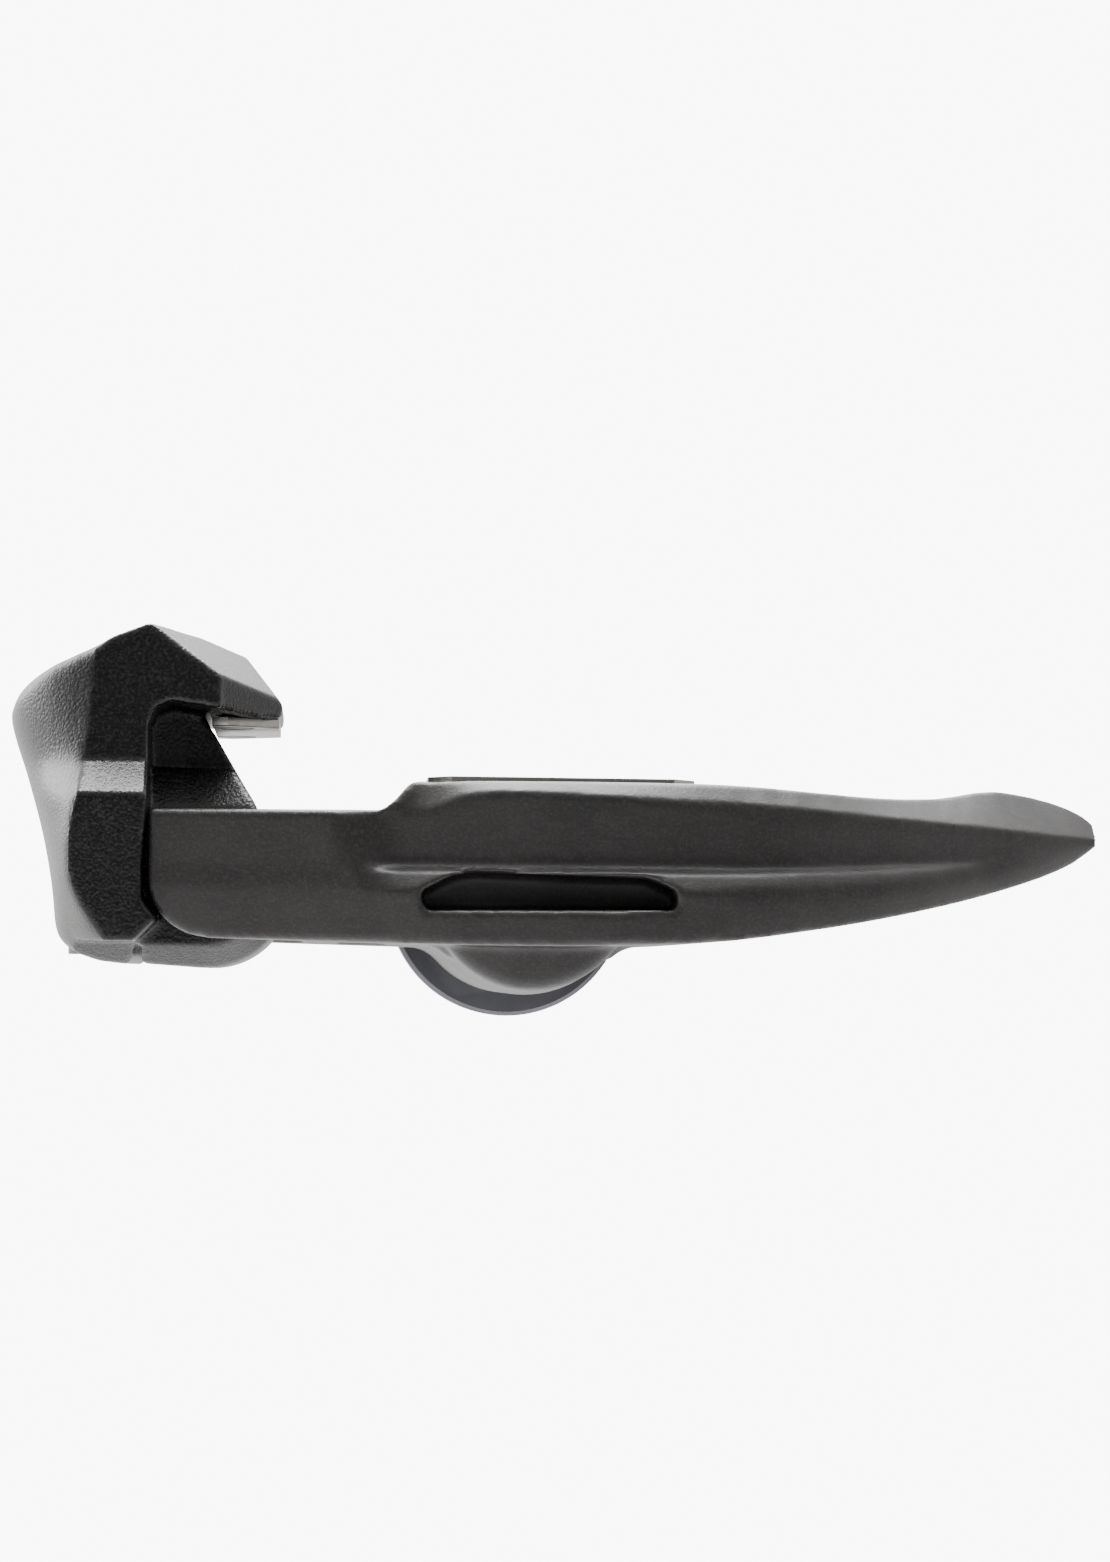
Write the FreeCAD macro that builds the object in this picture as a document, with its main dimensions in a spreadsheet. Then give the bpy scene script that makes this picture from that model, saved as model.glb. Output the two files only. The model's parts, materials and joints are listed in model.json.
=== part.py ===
"""Clip-in road bicycle pedal, right-hand side, as an assembly of separate solids.

Frame: origin on the spindle axis at the face that seats against the crank arm.
+X points to the nose of the pedal, +Y to the crank, +Z up. Millimetres.
"""
import FreeCAD, Part
import math
import os

import Sketcher  # noqa: F401  registers the sketch objects
from FreeCAD import Vector

# Driving dimensions: alias, value, meaning.
CELLS = [
    ("q_offset", 52.0, "crank face to the middle plane of the pedal"),
    ("thread_radius", 7.144, "9/16 inch crank thread, major radius"),
    ("thread_length", 12.0, "crank thread length"),
    ("hex_across", 8.0, "spindle socket, across flats"),
    ("hex_depth", 7.0, "spindle socket depth"),
    ("flange_radius", 9.0, "spindle shoulder against the crank"),
    ("flange_width", 3.0, "spindle shoulder width"),
    ("seal_radius", 7.0, "spindle radius under the seal"),
    ("journal_radius", 5.4, "spindle radius under the needle rollers"),
    ("mid_radius", 4.4, "spindle radius between the bearings"),
    ("tail_radius", 3.0, "spindle tail that carries cone and nut"),
    ("tail_end", 73.8, "spindle tail end from the crank face"),
    ("barrel_radius", 9.5, "body barrel around the spindle, crank side"),
    ("barrel_tail_radius", 9.0, "body barrel, outer end"),
    ("dome_radius", 1.3, "rounding round the domed barrel end"),
    ("flare_radius", 3.5, "concave flare between barrel and underside"),
    ("barrel_start", 21.0, "barrel mouth from the crank face"),
    ("barrel_end", 77.3, "closed barrel end from the crank face"),
    ("sleeve_radius", 7.6, "bearing sleeve, outside"),
    ("sleeve_wall", 1.0, "bearing sleeve wall"),
    ("sleeve_start", 18.0, "bearing sleeve, crank end"),
    ("sleeve_end", 75.0, "bearing sleeve, outer end"),
    ("lock_radius", 11.8, "lock collar rim"),
    ("lock_thread_radius", 8.6, "lock collar thread in the barrel"),
    ("lock_thread_length", 6.0, "lock collar thread length"),
    ("lock_width", 9.5, "lock collar width outside the barrel"),
    ("needle_radius", 0.75, "needle roller radius"),
    ("needle_length", 11.0, "needle roller length"),
    ("needle_count", 16, "needle rollers"),
    ("ball_radius", 1.19, "3/32 inch bearing ball"),
    ("ball_count", 12, "balls in each ring"),
    ("ball_pitch_radius", 5.45, "ball centres from the axis"),
    ("inner_ball_place", 36.0, "crank-side ball ring from the crank face"),
    ("outer_ball_place", 66.0, "outer ball ring from the crank face"),
    ("ledge_drop", 2.1, "height of the rounded ledge under the scooped side"),
    ("rear_end", 33.5, "rear end of the side rails behind the spindle"),
    ("nose_end", 53.2, "nose tip ahead of the spindle"),
    ("rail_inner", 18.6, "half width of the notch between the rails"),
    ("notch_front", 20.2, "front wall of that notch behind the spindle"),
    ("deck_height", 9.1, "shoe platform above the spindle"),
    ("hinge_back", 28.6, "claw hinge axis behind the spindle"),
    ("hinge_pin_radius", 2.5, "claw hinge pin"),
    ("hinge_pin_length", 42.4, "claw hinge pin length"),
    ("knuckle_radius", 7.45, "claw knuckle around the hinge"),
    ("knuckle_taper", 2.9, "tapered outer end of the knuckle"),
    ("knuckle_half", 17.9, "half width of the claw knuckle"),
    ("chamber_radius", 6.2, "spring chamber in the knuckle"),
    ("chamber_half", 14.2, "half width of the spring chamber"),
    ("claw_half", 24.0, "half width of the claw at its foot"),
    ("claw_front", 33.9, "front face of the claw arms behind the spindle"),
    ("bow_power", 3.2, "fullness of the claw's back in plan"),
    ("spring_wire", 0.9, "torsion spring wire radius"),
    ("spring_mean", 4.3, "torsion spring coil radius"),
    ("spring_turns", 5, "coils in each torsion spring"),
    ("bolt_back", 38.9, "tension bolt axis behind the spindle"),
    ("bolt_radius", 2.0, "tension bolt shank"),
    ("bolt_head_radius", 2.7, "tension bolt head"),
    ("plate_thick", 0.8, "wear plate"),
    ("plate_front", 14.2, "wear plate front edge"),
    ("seat_depth", 0.4, "depth of the wear plate's seat in the platform"),
    ("plate_back", 9.2, "wear plate rear edge"),
    ("plate_half", 26.0, "wear plate half width"),
    ("screw_radius", 1.25, "plate screw shank"),
    ("screw_length", 2.6, "plate screw shank below the platform"),
    ("screw_head_radius", 2.4, "plate screw head"),
    ("insert_thick", 0.8, "hardened lip insert"),
    ("insert_height", 14.35, "underside of the lip insert above the spindle"),
    ("insert_screw_y", 7.5, "insert screws from the middle plane"),
]
SIZE = {alias: value for alias, value, _ in CELLS}

# Outlines of the moulded body along X: (x, value), joined by smooth curves.
HALF_WIDTH = [(-33.5, 23.2), (-20, 26.4), (-5, 30.6), (7, 31.8), (20, 29.6), (32, 23.2),
              (42, 14.8), (49, 8.2), (53.2, 4.0)]
UNDERSIDE = [(-33.5, -4.7), (0, -5.2), (14, -4.8), (24.6, -3.5), (36.2, -1.3), (46.2, 1.4),
             (50.5, 3.1), (53.2, 4.9)]
SIDE_EDGE = [(-33.5, 6.4), (-16, 6.3), (-11.5, 6.2), (-8.7, 6.6), (-6.3, 7.7), (-3, 8.15),
             (12, 7.5), (28, 6.7), (40.4, 6.0), (53.2, 5.1)]
CROWN = [(-33.5, 6.45), (-13.2, 6.45), (-10.4, 9.0), (-8, 9.1), (14, 9.1), (31.7, 8.4),
         (36.5, 8.6), (43, 9.6), (47, 9.2), (51.4, 8.0), (53.2, 6.8)]
SHOULDER = [(-33.5, 0.6), (-14.5, 0.7), (-9, 3.6), (14, 3.6), (28, 4.6), (40, 6.4),
            (47, 5.6), (53.2, 2.4)]
CREASE = [(-33.5, 1.7), (12, 1.7), (37, 2.75), (53.2, 5.6)]
# Depth of the scooped side below the platform edge, and above the crease.
SCOOP_TOP = [(-17.8, 0.0), (-11, 2.4), (28, 2.2), (47, 0.0)]
SCOOP_FOOT = [(-15.4, 0.0), (-11, 2.4), (28, 2.2), (47, 0.0)]
# Places of the cross-sections: close together over the ramps, wide apart where it is plain.
STATIONS = [-33.5, -28, -22.5, -17.8, -16.6, -15.4, -14.3, -13.2, -12, -11, -10.4, -9.6, -8.7,
            -7.5, -6.3, -4.7, -3, 0, 3.5, 7, 10.5, 14, 17, 20, 23, 26, 28.5, 31, 33, 35, 37, 39,
            41, 43, 45, 47, 49, 50.5, 52, 53.2]

# The claw's back by height: (z, value), for its side edges, its middle and its half width.
CLAW_SIDE = [(-9.0, -35.4), (-5.15, -37.3), (-2.3, -39.4), (0.5, -40.5), (3.4, -40.6),
             (7.7, -39.9), (10.7, -39.5), (20.2, -38.7), (24.0, -38.3)]
CLAW_MIDDLE = [(-9.0, -42.3), (-2.0, -42.6), (-0.7, -42.7), (3.7, -43.5), (9.5, -45.2),
               (14.8, -46.95), (16.4, -47.2), (24.0, -47.5)]
CLAW_WIDTH = [(-9.0, 24.0), (7.7, 24.0), (10.7, 20.4), (20.2, 19.3), (24.0, 19.0)]
CLAW_LEVELS = [-9.0, -6.5, -5.15, -3.8, -2.3, -0.7, 0.5, 2, 3.7, 5.7, 7.7, 9.2, 10.7, 12.5, 14.8,
               16.4, 18.5, 21, 24]


def curve(outline, x):
    """Value of an outline at x, by cubic pieces whose slopes never overshoot."""
    if x <= outline[0][0]:
        return outline[0][1]
    if x >= outline[-1][0]:
        return outline[-1][1]
    slopes = [(b[1] - a[1]) / (b[0] - a[0]) for a, b in zip(outline, outline[1:])]
    tangents = [slopes[0]]
    for before, after in zip(slopes, slopes[1:]):
        same_way = before * after > 0
        tangents.append(2 * before * after / (before + after) if same_way else 0.0)
    tangents.append(slopes[-1])
    i = max(k for k in range(len(outline) - 1) if outline[k][0] <= x)
    (x0, v0), (x1, v1) = outline[i], outline[i + 1]
    width = x1 - x0
    s = (x - x0) / width
    return ((1 + 2 * s) * (1 - s) ** 2 * v0 + s * (1 - s) ** 2 * width * tangents[i]
            + s * s * (3 - 2 * s) * v1 - s * s * (1 - s) * width * tangents[i + 1])


doc = FreeCAD.newDocument("road_pedal")
sheet = doc.addObject("Spreadsheet::Sheet", "sizes")
for row, (alias, value, meaning) in enumerate(CELLS, 1):
    sheet.set(f"A{row}", meaning)
    sheet.set(f"B{row}", str(value))
    sheet.setAlias(f"B{row}", alias)
doc.recompute()
NODES = []


def bind(target, **expressions):
    """Binds properties of an object to expressions of the sheet's cells."""
    for prop, expression in expressions.items():
        for alias in sorted(SIZE, key=len, reverse=True):
            expression = expression.replace("$" + alias, "sizes." + alias)
        target.setExpression(prop.replace("__", "."), expression)


def number(expression):
    """Value of a sum of products of numbers and $aliases, such as '-21 - $ball_radius * 2'."""
    total = 0.0
    for term in expression.replace("- ", "+ -").split("+"):
        product = 1.0
        for factor in term.replace(" ", "").split("*"):
            sign, name = (-1.0, factor[1:]) if factor.startswith("-") else (1.0, factor)
            product *= sign * (SIZE[name[1:]] if name.startswith("$") else float(name))
        total += product
    return total


def keep(part, label):
    """Names a finished sub-part, so that it is written out."""
    part.Label = label
    NODES.append(part)
    return part


def draw(body, name, role, corners):
    """Closed sketch of straight lines on an origin plane; each corner is bound to the sheet."""
    plane = next(f for f in body.Origin.OriginFeatures if f.Role == role)
    sketch = body.newObject("Sketcher::SketchObject", name)
    sketch.AttachmentSupport = [(plane, "")]
    sketch.MapMode = "FlatFace"
    places = [Vector(number(u), number(v), 0) for u, v in corners]
    for start, end in zip(places, places[1:] + places[:1]):
        sketch.addGeometry(Part.LineSegment(start, end), False)
    count = len(corners)
    for i in range(count):
        sketch.addConstraint(Sketcher.Constraint("Coincident", i, 2, (i + 1) % count, 1))
    for i, (place, (u, v)) in enumerate(zip(places, corners)):
        for kind, value, expression in (("DistanceX", place.x, u), ("DistanceY", place.y, v)):
            index = sketch.addConstraint(Sketcher.Constraint(kind, -1, 1, i, 1, value))
            bind(sketch, **{f"Constraints[{index}]": expression})
    return sketch


def turned(label, corners, role="XY_Plane"):
    """Ring or shaft about the sketch's upright axis; corners are (radius, height)."""
    body = doc.addObject("PartDesign::Body", label + "_body")
    sketch = draw(body, label + "_profile", role, corners)
    turn = body.newObject("PartDesign::Revolution", label + "_turn")
    turn.Profile = sketch
    turn.ReferenceAxis = (sketch, ["V_Axis"])
    turn.Angle = 360
    body.Tip = turn
    return body


def padded(label, role, corners, length, middle=False):
    """Plate of one thickness from a flat outline."""
    body = doc.addObject("PartDesign::Body", label + "_body")
    sketch = draw(body, label + "_outline", role, corners)
    pad = body.newObject("PartDesign::Pad", label + "_pad")
    pad.Profile = sketch
    pad.Midplane = middle
    bind(pad, Length=length)
    body.Tip = pad
    return body


def pocketed(body, label, role, corners, height, depth, towards_normal=False):
    """Pocket cut into a body from a plane at the given height along the plane's normal."""
    sketch = draw(body, label + "_outline", role, corners)
    sketch.AttachmentOffset = FreeCAD.Placement(Vector(0, 0, number(height)), FreeCAD.Rotation())
    bind(sketch, AttachmentOffset__Base__z=height)
    pocket = body.newObject("PartDesign::Pocket", label + "_cut")
    pocket.Profile = sketch
    pocket.Reversed = towards_normal
    bind(pocket, Length=depth)
    body.Tip = pocket
    return body


def hexagon(across):
    """Corners of a hexagon of the given width across flats."""
    return [(f"{across} * {math.cos(math.radians(60 * k)) / math.sqrt(3):.5f}",
             f"{across} * {math.sin(math.radians(60 * k)) / math.sqrt(3):.5f}") for k in range(6)]


def cylinder(name, radius, height, base, axis):
    """Part cylinder with bound size, from a base point along an axis."""
    item = doc.addObject("Part::Cylinder", name)
    bind(item, Radius=radius, Height=height)
    item.Placement = FreeCAD.Placement(base, FreeCAD.Rotation(Vector(0, 0, 1), axis))
    return item


def cut_by(label, base, tools):
    """Base part less all the tool parts."""
    tool = tools[0]
    if len(tools) > 1:
        tool = doc.addObject("Part::MultiFuse", label + "_tools")
        tool.Shapes = tools
    cut = doc.addObject("Part::Cut", label + "_cut")
    cut.Base = base
    cut.Tool = tool
    return keep(cut, label)


def set_place(body, x="0", y="0", z="0"):
    """Moves a body to a place bound to the sheet."""
    body.Placement.Base = Vector(number(x), number(y), number(z))
    bind(body, Placement__Base__x=x, Placement__Base__y=y, Placement__Base__z=z)
    return body


def prism(axis, corners, low, high):
    """Solid between two planes square to axis, from a flat outline of (u, v) corners."""
    place = {"x": lambda u, v: Vector(low, u, v), "y": lambda u, v: Vector(u, low, v),
             "z": lambda u, v: Vector(u, v, low)}[axis]
    along = {"x": Vector(high - low, 0, 0), "y": Vector(0, high - low, 0),
             "z": Vector(0, 0, high - low)}[axis]
    points = [place(u, v) for u, v in corners]
    return Part.Face(Part.makePolygon(points + points[:1])).extrude(along)


def both_sides(shape):
    """A shape and its mirror image across the middle plane, fused."""
    return shape.fuse(shape.mirror(Vector(0, 0, 0), Vector(0, 1, 0)))


def rod(radius, start, end):
    """Round bar between two points."""
    return Part.makeCylinder(radius, (end - start).Length, start, end - start)


def feature(label, shape, on_middle=True):
    """Sub-part from a ready shape, moved to the pedal's middle plane if it is drawn about it."""
    part = doc.addObject("Part::Feature", label + "_solid")
    part.Shape = shape.removeSplitter()
    if on_middle:
        part.Placement = FreeCAD.Placement(Vector(0, -SIZE["q_offset"], 0), FreeCAD.Rotation())
    return keep(part, label)


# ---------------------------------------------------------------- spindle group
def make_spindle():
    """Turned steel spindle with crank thread, shoulder, journals and a hexagon socket."""
    body = turned("spindle", [
        ("0", "$thread_length"), ("$thread_radius - 0.8", "$thread_length"),
        ("$thread_radius", "$thread_length - 0.8"), ("$thread_radius", "0"),
        ("$flange_radius", "0"), ("$flange_radius", "0 - $flange_width"),
        ("$seal_radius", "0 - $flange_width"), ("$seal_radius", "-16.5"),
        ("$journal_radius", "-17.5"), ("$journal_radius", "-31"),
        ("$mid_radius - 0.2", "0 - $inner_ball_place + 1.3"), ("$mid_radius - 0.2", "-37.2"),
        ("$mid_radius", "-37.5"), ("$mid_radius", "-60"), ("$tail_radius", "-61"),
        ("$tail_radius", "0 - $tail_end"), ("0", "0 - $tail_end")])
    pocketed(body, "socket", "XZ_Plane", hexagon("$hex_across"), "0 - $thread_length",
             "$hex_depth", True)
    return keep(body, "spindle")


def make_spindle_rings():
    """Seal, outer cone, key washer and lock nut that sit on the spindle."""
    keep(turned("dust_seal", [
        ("$seal_radius + 0.02", "-7.2"), ("$seal_radius + 1.6", "-7.2"),
        ("$seal_radius + 1.6", "-9.6"), ("$seal_radius + 0.02", "-9.6")]), "dust_seal")
    keep(turned("inner_cone", [
        ("$mid_radius + 0.02", "0 - $inner_ball_place - 4"),
        ("$mid_radius + 0.9", "0 - $inner_ball_place - 4"),
        ("$mid_radius + 0.9", "0 - $inner_ball_place - 1.9"),
        ("$mid_radius + 0.3", "0 - $inner_ball_place - 1.3"),
        ("$mid_radius + 0.02", "0 - $inner_ball_place - 1.3")]), "inner_cone")
    keep(turned("outer_cone", [
        ("$tail_radius + 0.02", "0 - $outer_ball_place + 0.2"),
        ("$tail_radius + 0.7", "0 - $outer_ball_place + 0.2"),
        ("$tail_radius + 1.2", "0 - $outer_ball_place - 1.0"),
        ("$tail_radius + 2.4", "0 - $outer_ball_place - 1.7"),
        ("$tail_radius + 2.4", "0 - $outer_ball_place - 3.6"),
        ("$tail_radius + 0.02", "0 - $outer_ball_place - 3.6")]), "outer_cone")
    keep(turned("key_washer", [
        ("$tail_radius + 0.02", "-69.65"), ("$tail_radius + 2.2", "-69.65"),
        ("$tail_radius + 2.2", "-70.35"), ("$tail_radius + 0.02", "-70.35")]), "key_washer")
    nut = doc.addObject("Part::Prism", "nut_block")
    nut.Polygon = 6
    bind(nut, Circumradius="$tail_radius + 2.4", Height="3.2")
    hole = doc.addObject("Part::Cylinder", "nut_hole")
    bind(hole, Radius="$tail_radius + 0.02", Height="4")
    for block in (nut, hole):
        block.Placement = FreeCAD.Placement(
            Vector(0, -70.4, 0), FreeCAD.Rotation(Vector(1, 0, 0), 90))
    cut_by("lock_nut", nut, [hole])


# ---------------------------------------------------------------- rolling elements
def ring_of(shape, count):
    """Copies of a shape, evenly spaced about the spindle axis."""
    copies = []
    for k in range(int(count)):
        copy = shape.copy()
        copy.rotate(Vector(0, 0, 0), Vector(0, 1, 0), 360 * k / count)
        copies.append(copy)
    return Part.makeCompound(copies)


def make_rollers():
    """Needle rollers with their cage and the two ball rings."""
    pitch = SIZE["journal_radius"] + SIZE["needle_radius"] + 0.03
    start, length = -30.0, SIZE["needle_length"]
    needle = rod(SIZE["needle_radius"], Vector(pitch, start, 0),
                 Vector(pitch, start + length, 0))
    feature("needle_rollers", ring_of(needle, SIZE["needle_count"]), False)
    for name, place in (("inner_balls", "inner_ball_place"), ("outer_balls", "outer_ball_place")):
        ball = Part.makeSphere(SIZE["ball_radius"],
                               Vector(SIZE["ball_pitch_radius"], -SIZE[place], 0))
        feature(name, ring_of(ball, SIZE["ball_count"]), False)


# ---------------------------------------------------------------- body group
def body_section(x):
    """Cross-section of the moulded body at x: platform, shoulders, scooped sides, underside."""
    half = curve(HALF_WIDTH, x)
    top, foot = half - curve(SCOOP_TOP, x), half - curve(SCOOP_FOOT, x)
    low, high = curve(UNDERSIDE, x), curve(CROWN, x)
    edge = curve(SIDE_EDGE, x)
    crease = min(curve(CREASE, x), low + 0.6 * (edge - low))
    ledge = min(SIZE["ledge_drop"], 0.4 * (crease - low))
    bulge = (foot + 0.6 * (half - foot), crease - 0.3 * ledge)
    side = [(half - curve(SHOULDER, x), high), (top + 0.3, edge), (foot, crease), bulge,
            (half, crease - ledge), (half - 0.5, low)]
    points = [Vector(x, y, z) for y, z in side]
    points += [Vector(x, -y, z) for y, z in reversed(side)]
    return Part.makePolygon(points + points[:1])


def make_body():
    """One-piece moulded body: platform, nose hook, rails, barrel and its bores."""
    hull = Part.makeLoft([body_section(x) for x in STATIONS], True, True)
    middle = SIZE["q_offset"]
    mouth, end = middle - SIZE["barrel_start"], middle - SIZE["barrel_end"]
    barrel = rod(SIZE["barrel_radius"], Vector(0, mouth, 0), Vector(0, -8, 0))
    taper = Part.makeCone(SIZE["barrel_radius"], SIZE["barrel_tail_radius"], -8 - end,
                          Vector(0, -8, 0), Vector(0, -1, 0))
    globe = 3.2 * SIZE["barrel_tail_radius"]
    tail = taper.common(Part.makeSphere(globe, Vector(0, end + globe, 0))
                        .fuse(rod(30, Vector(0, -20, 0), Vector(0, 20, 0))))
    rim = [edge for edge in tail.Edges if isinstance(edge.Curve, Part.Circle)
           and edge.BoundBox.YMax < end + 4 and edge.Curve.Radius > SIZE["barrel_tail_radius"] - 0.5]
    tail = tail.makeFillet(SIZE["dome_radius"], rim)
    # long slot in the outer wall, open as far as the barrel's end
    outline = [(-9.95, -0.65), (-9.4, -2.2), (12.2, -2.0), (12.2, -0.3), (9.7, 0.75), (-5.3, 1.1),
               (-7.0, 0.85)]
    slot = prism("y", outline, -34, end - 0.4)
    # flare that joins the barrel to the underside
    fillet, plane = SIZE["flare_radius"], 5.1
    reach = SIZE["barrel_radius"] + fillet
    run = math.sqrt(reach ** 2 - (plane + fillet - 0.1) ** 2)
    drop = (plane + fillet) * SIZE["barrel_radius"] / reach - 0.06
    web = Part.makeBox(2 * run, 49, drop, Vector(-run, -20, -drop))
    web = web.cut([rod(fillet, Vector(sign * (run - 0.06), -21, -plane - fillet),
                       Vector(sign * (run - 0.06), 30, -plane - fillet)) for sign in (-1, 1)])
    solid = hull.cut(slot).fuse([barrel, tail, web])

    cuts = []
    # notch between the rails for the claw, and the round foot of the rails
    inner, front = SIZE["rail_inner"], -SIZE["notch_front"]
    cuts.append(Part.makeBox(30, 2 * inner, 40, Vector(front - 30, -inner, -20)))
    foot = 5.2
    corner = Vector(-SIZE["rear_end"] + foot, 0, -4.7 + foot)
    waste = Part.makeBox(foot + 1, 60, foot + 1, corner + Vector(-foot - 1, -30, -foot - 1))
    cuts.append(waste.cut(rod(foot, corner + Vector(0, -30, 0), corner + Vector(0, 30, 0))))
    # hinge pin bore: open through the crank-side rail, blind in the outer rail
    back = -SIZE["hinge_back"]
    cuts.append(rod(SIZE["hinge_pin_radius"] + 0.02, Vector(back, -21.2, 0), Vector(back, 30, 0)))
    # bearing bore and the thread for the lock collar
    cuts.append(rod(SIZE["sleeve_radius"] + 0.03, Vector(0, middle - SIZE["sleeve_end"] - 0.3, 0),
                    Vector(0, 40, 0)))
    cuts.append(rod(SIZE["lock_thread_radius"] + 0.03, Vector(0, mouth - 6.2, 0),
                    Vector(0, 40, 0)))
    cuts.append(rod(SIZE["lock_radius"] + 0.3, Vector(0, mouth, 0), Vector(0, 40, 0)))
    # window in the nose; it reaches further forward under the hook than above it
    cuts.append(prism("z", [(19, 10.5), (19, -10.5), (38.2, -7.4), (39.2, -4.6), (39.6, 0),
                            (39.2, 4.6), (38.2, 7.4)], -10, 20))
    cuts.append(prism("z", [(38, 7.4), (38, -7.4), (44.2, -5.6), (45.0, 0), (44.2, 5.6)],
                      3.4, 7.2))
    # pockets in the underside beside the window and ahead of the notch
    cuts.append(both_sides(prism("z", [(13.5, 12.6), (13.5, 26.4), (20, 25.4), (31, 19.0),
                                       (37, 12.4), (35.5, 10.4), (20, 13.0)], -10, 4.6)))
    cuts.append(prism("z", [(-16.6, -15), (-12.4, -15), (-12.4, 15), (-16.6, 15)], -10, 2.5))
    # holes in the notch wall that hold the front legs of the springs
    for y in (-10.8, 10.8):
        cuts.append(Part.makeBox(2.1, 2.4, 2.6, Vector(-20.3, y - 1.2, 1.5)))
    # seat of the wear plate and its screw holes
    rim = 0.15
    seat = [(-SIZE["plate_back"] - rim, -SIZE["plate_half"] - rim),
            (SIZE["plate_front"] + rim, -SIZE["plate_half"] - rim),
            (SIZE["plate_front"] + rim, SIZE["plate_half"] + rim),
            (-SIZE["plate_back"] - rim, SIZE["plate_half"] + rim)]
    floor = SIZE["deck_height"] - SIZE["seat_depth"]
    cuts.append(prism("z", seat, floor, 20))
    for x, y in screw_places():
        cuts.append(rod(SIZE["screw_radius"] + 0.02, Vector(x, y, floor - SIZE["screw_length"]),
                        Vector(x, y, 20)))
    return feature("pedal_body", solid.cut(cuts))


def screw_places():
    """Centres of the four wear plate screws."""
    return [(x, y) for x in (-6.0, 10.4) for y in (-22.0, 22.0)]


def make_wear_plate():
    """Stainless plate under the shoe cleat, with countersunk screws."""
    back, front, half = "0 - $plate_back", "$plate_front", "$plate_half"
    outline = [(back, f"0 - {half} + 3"), (f"{back} + 2", f"0 - {half}"),
               (f"{front} - 2", f"0 - {half}"), (front, f"0 - {half} + 3"),
               (front, f"{half} - 3"), (f"{front} - 2", half), (f"{back} + 2", half),
               (back, f"{half} - 3")]
    window = [(f"{back} + 5", "-12"), (f"{back} + 7", "-15"), (f"{front} - 7", "-15"),
              (f"{front} - 5", "-12"), (f"{front} - 5", "12"), (f"{front} - 7", "15"),
              (f"{back} + 7", "15"), (f"{back} + 5", "12")]
    plate = padded("wear_plate", "XY_Plane", outline, "$plate_thick")
    pocketed(plate, "wear_window", "XY_Plane", window, "$plate_thick", "$plate_thick")
    set_place(plate, "0", "0 - $q_offset", "$deck_height - $seat_depth")
    low = number("$deck_height - $seat_depth")
    tools = []
    for i, (x, y) in enumerate(screw_places()):
        base = Vector(x, y - SIZE["q_offset"], low)
        tools.append(cylinder(f"screw_hole_{i}", "$screw_radius + 0.05", "2", base - Vector(0, 0, 1),
                              Vector(0, 0, 1)))
        sink = doc.addObject("Part::Cone", f"screw_sink_{i}")
        bind(sink, Radius1="$screw_head_radius - 0.75", Radius2="$screw_head_radius + 0.05",
             Height="$plate_thick")
        sink.Placement.Base = base
        tools.append(sink)
    cut_by("wear_plate", plate, tools)
    screw = turned("plate_screw", [
        ("0", "0.05 - $screw_length"), ("$screw_radius", "0.05 - $screw_length"),
        ("$screw_radius", "0.02"),
        ("$screw_head_radius - 0.82", "0.02"), ("$screw_head_radius - 0.05", "0.77"),
        ("0", "0.77")], "XZ_Plane")
    pocketed(screw, "plate_screw_socket", "XY_Plane", hexagon("1.8"), "0.77", "1.4")
    doc.recompute()
    copies = [screw.Shape.translated(Vector(x, y, low)) for x, y in screw_places()]
    feature("plate_screws", Part.makeCompound(copies))


def make_barrel_parts():
    """Bearing sleeve and lock collar that turn with the body on the spindle."""
    race, step = "$ball_pitch_radius + $ball_radius + 0.05", "$ball_pitch_radius - 0.3"
    bore, needles = "$sleeve_radius - $sleeve_wall", "$journal_radius + $needle_radius * 2 + 0.07"
    keep(turned("bearing_sleeve", [
        (needles, "0 - $sleeve_start"), ("$sleeve_radius", "0 - $sleeve_start"),
        ("$sleeve_radius", "0 - $sleeve_end"), (race, "0 - $sleeve_end"),
        (race, "0 - $outer_ball_place + 0.8"), (step, "0 - $outer_ball_place + 1.8"),
        (step, "0 - $outer_ball_place + 3.6"), (bore, "0 - $outer_ball_place + 4.6"),
        (bore, "0 - $inner_ball_place - 5"), (race, "0 - $inner_ball_place - 4"),
        (race, "-32"), (needles, "-31")]), "bearing_sleeve")
    seal = "$seal_radius + 1.65"
    collar = turned("lock_collar", [
        ("$sleeve_radius + 0.03", "0 - $barrel_start - $lock_thread_length"),
        ("$lock_thread_radius", "0 - $barrel_start - $lock_thread_length"),
        ("$lock_thread_radius", "0 - $barrel_start + 0.05"),
        ("$lock_radius - 0.4", "0 - $barrel_start + 0.05"),
        ("$lock_radius", "0 - $barrel_start + 0.5"), ("$lock_radius", "-15.2"),
        ("$lock_radius - 0.6", "-14.4"), ("$lock_radius - 1.4", "-14.4"),
        ("$lock_radius - 1.4", "-7.6"), ("$lock_radius - 2", "-7"), (seal, "-7"),
        (seal, "-9.7"), ("$seal_radius + 0.5", "-9.7"), ("$seal_radius + 0.5", "-17.8"),
        ("$sleeve_radius + 0.03", "-17.8")])
    grooves = doc.addObject("Part::Feature", "collar_grooves")
    grooves.Shape = ring_of(Part.makeBox(3, 7.6, 1.5, Vector(number("$lock_radius - 2.1"), -14.4,
                                                            -0.75)), 12)
    cut_by("lock_collar", collar, [grooves])


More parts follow.
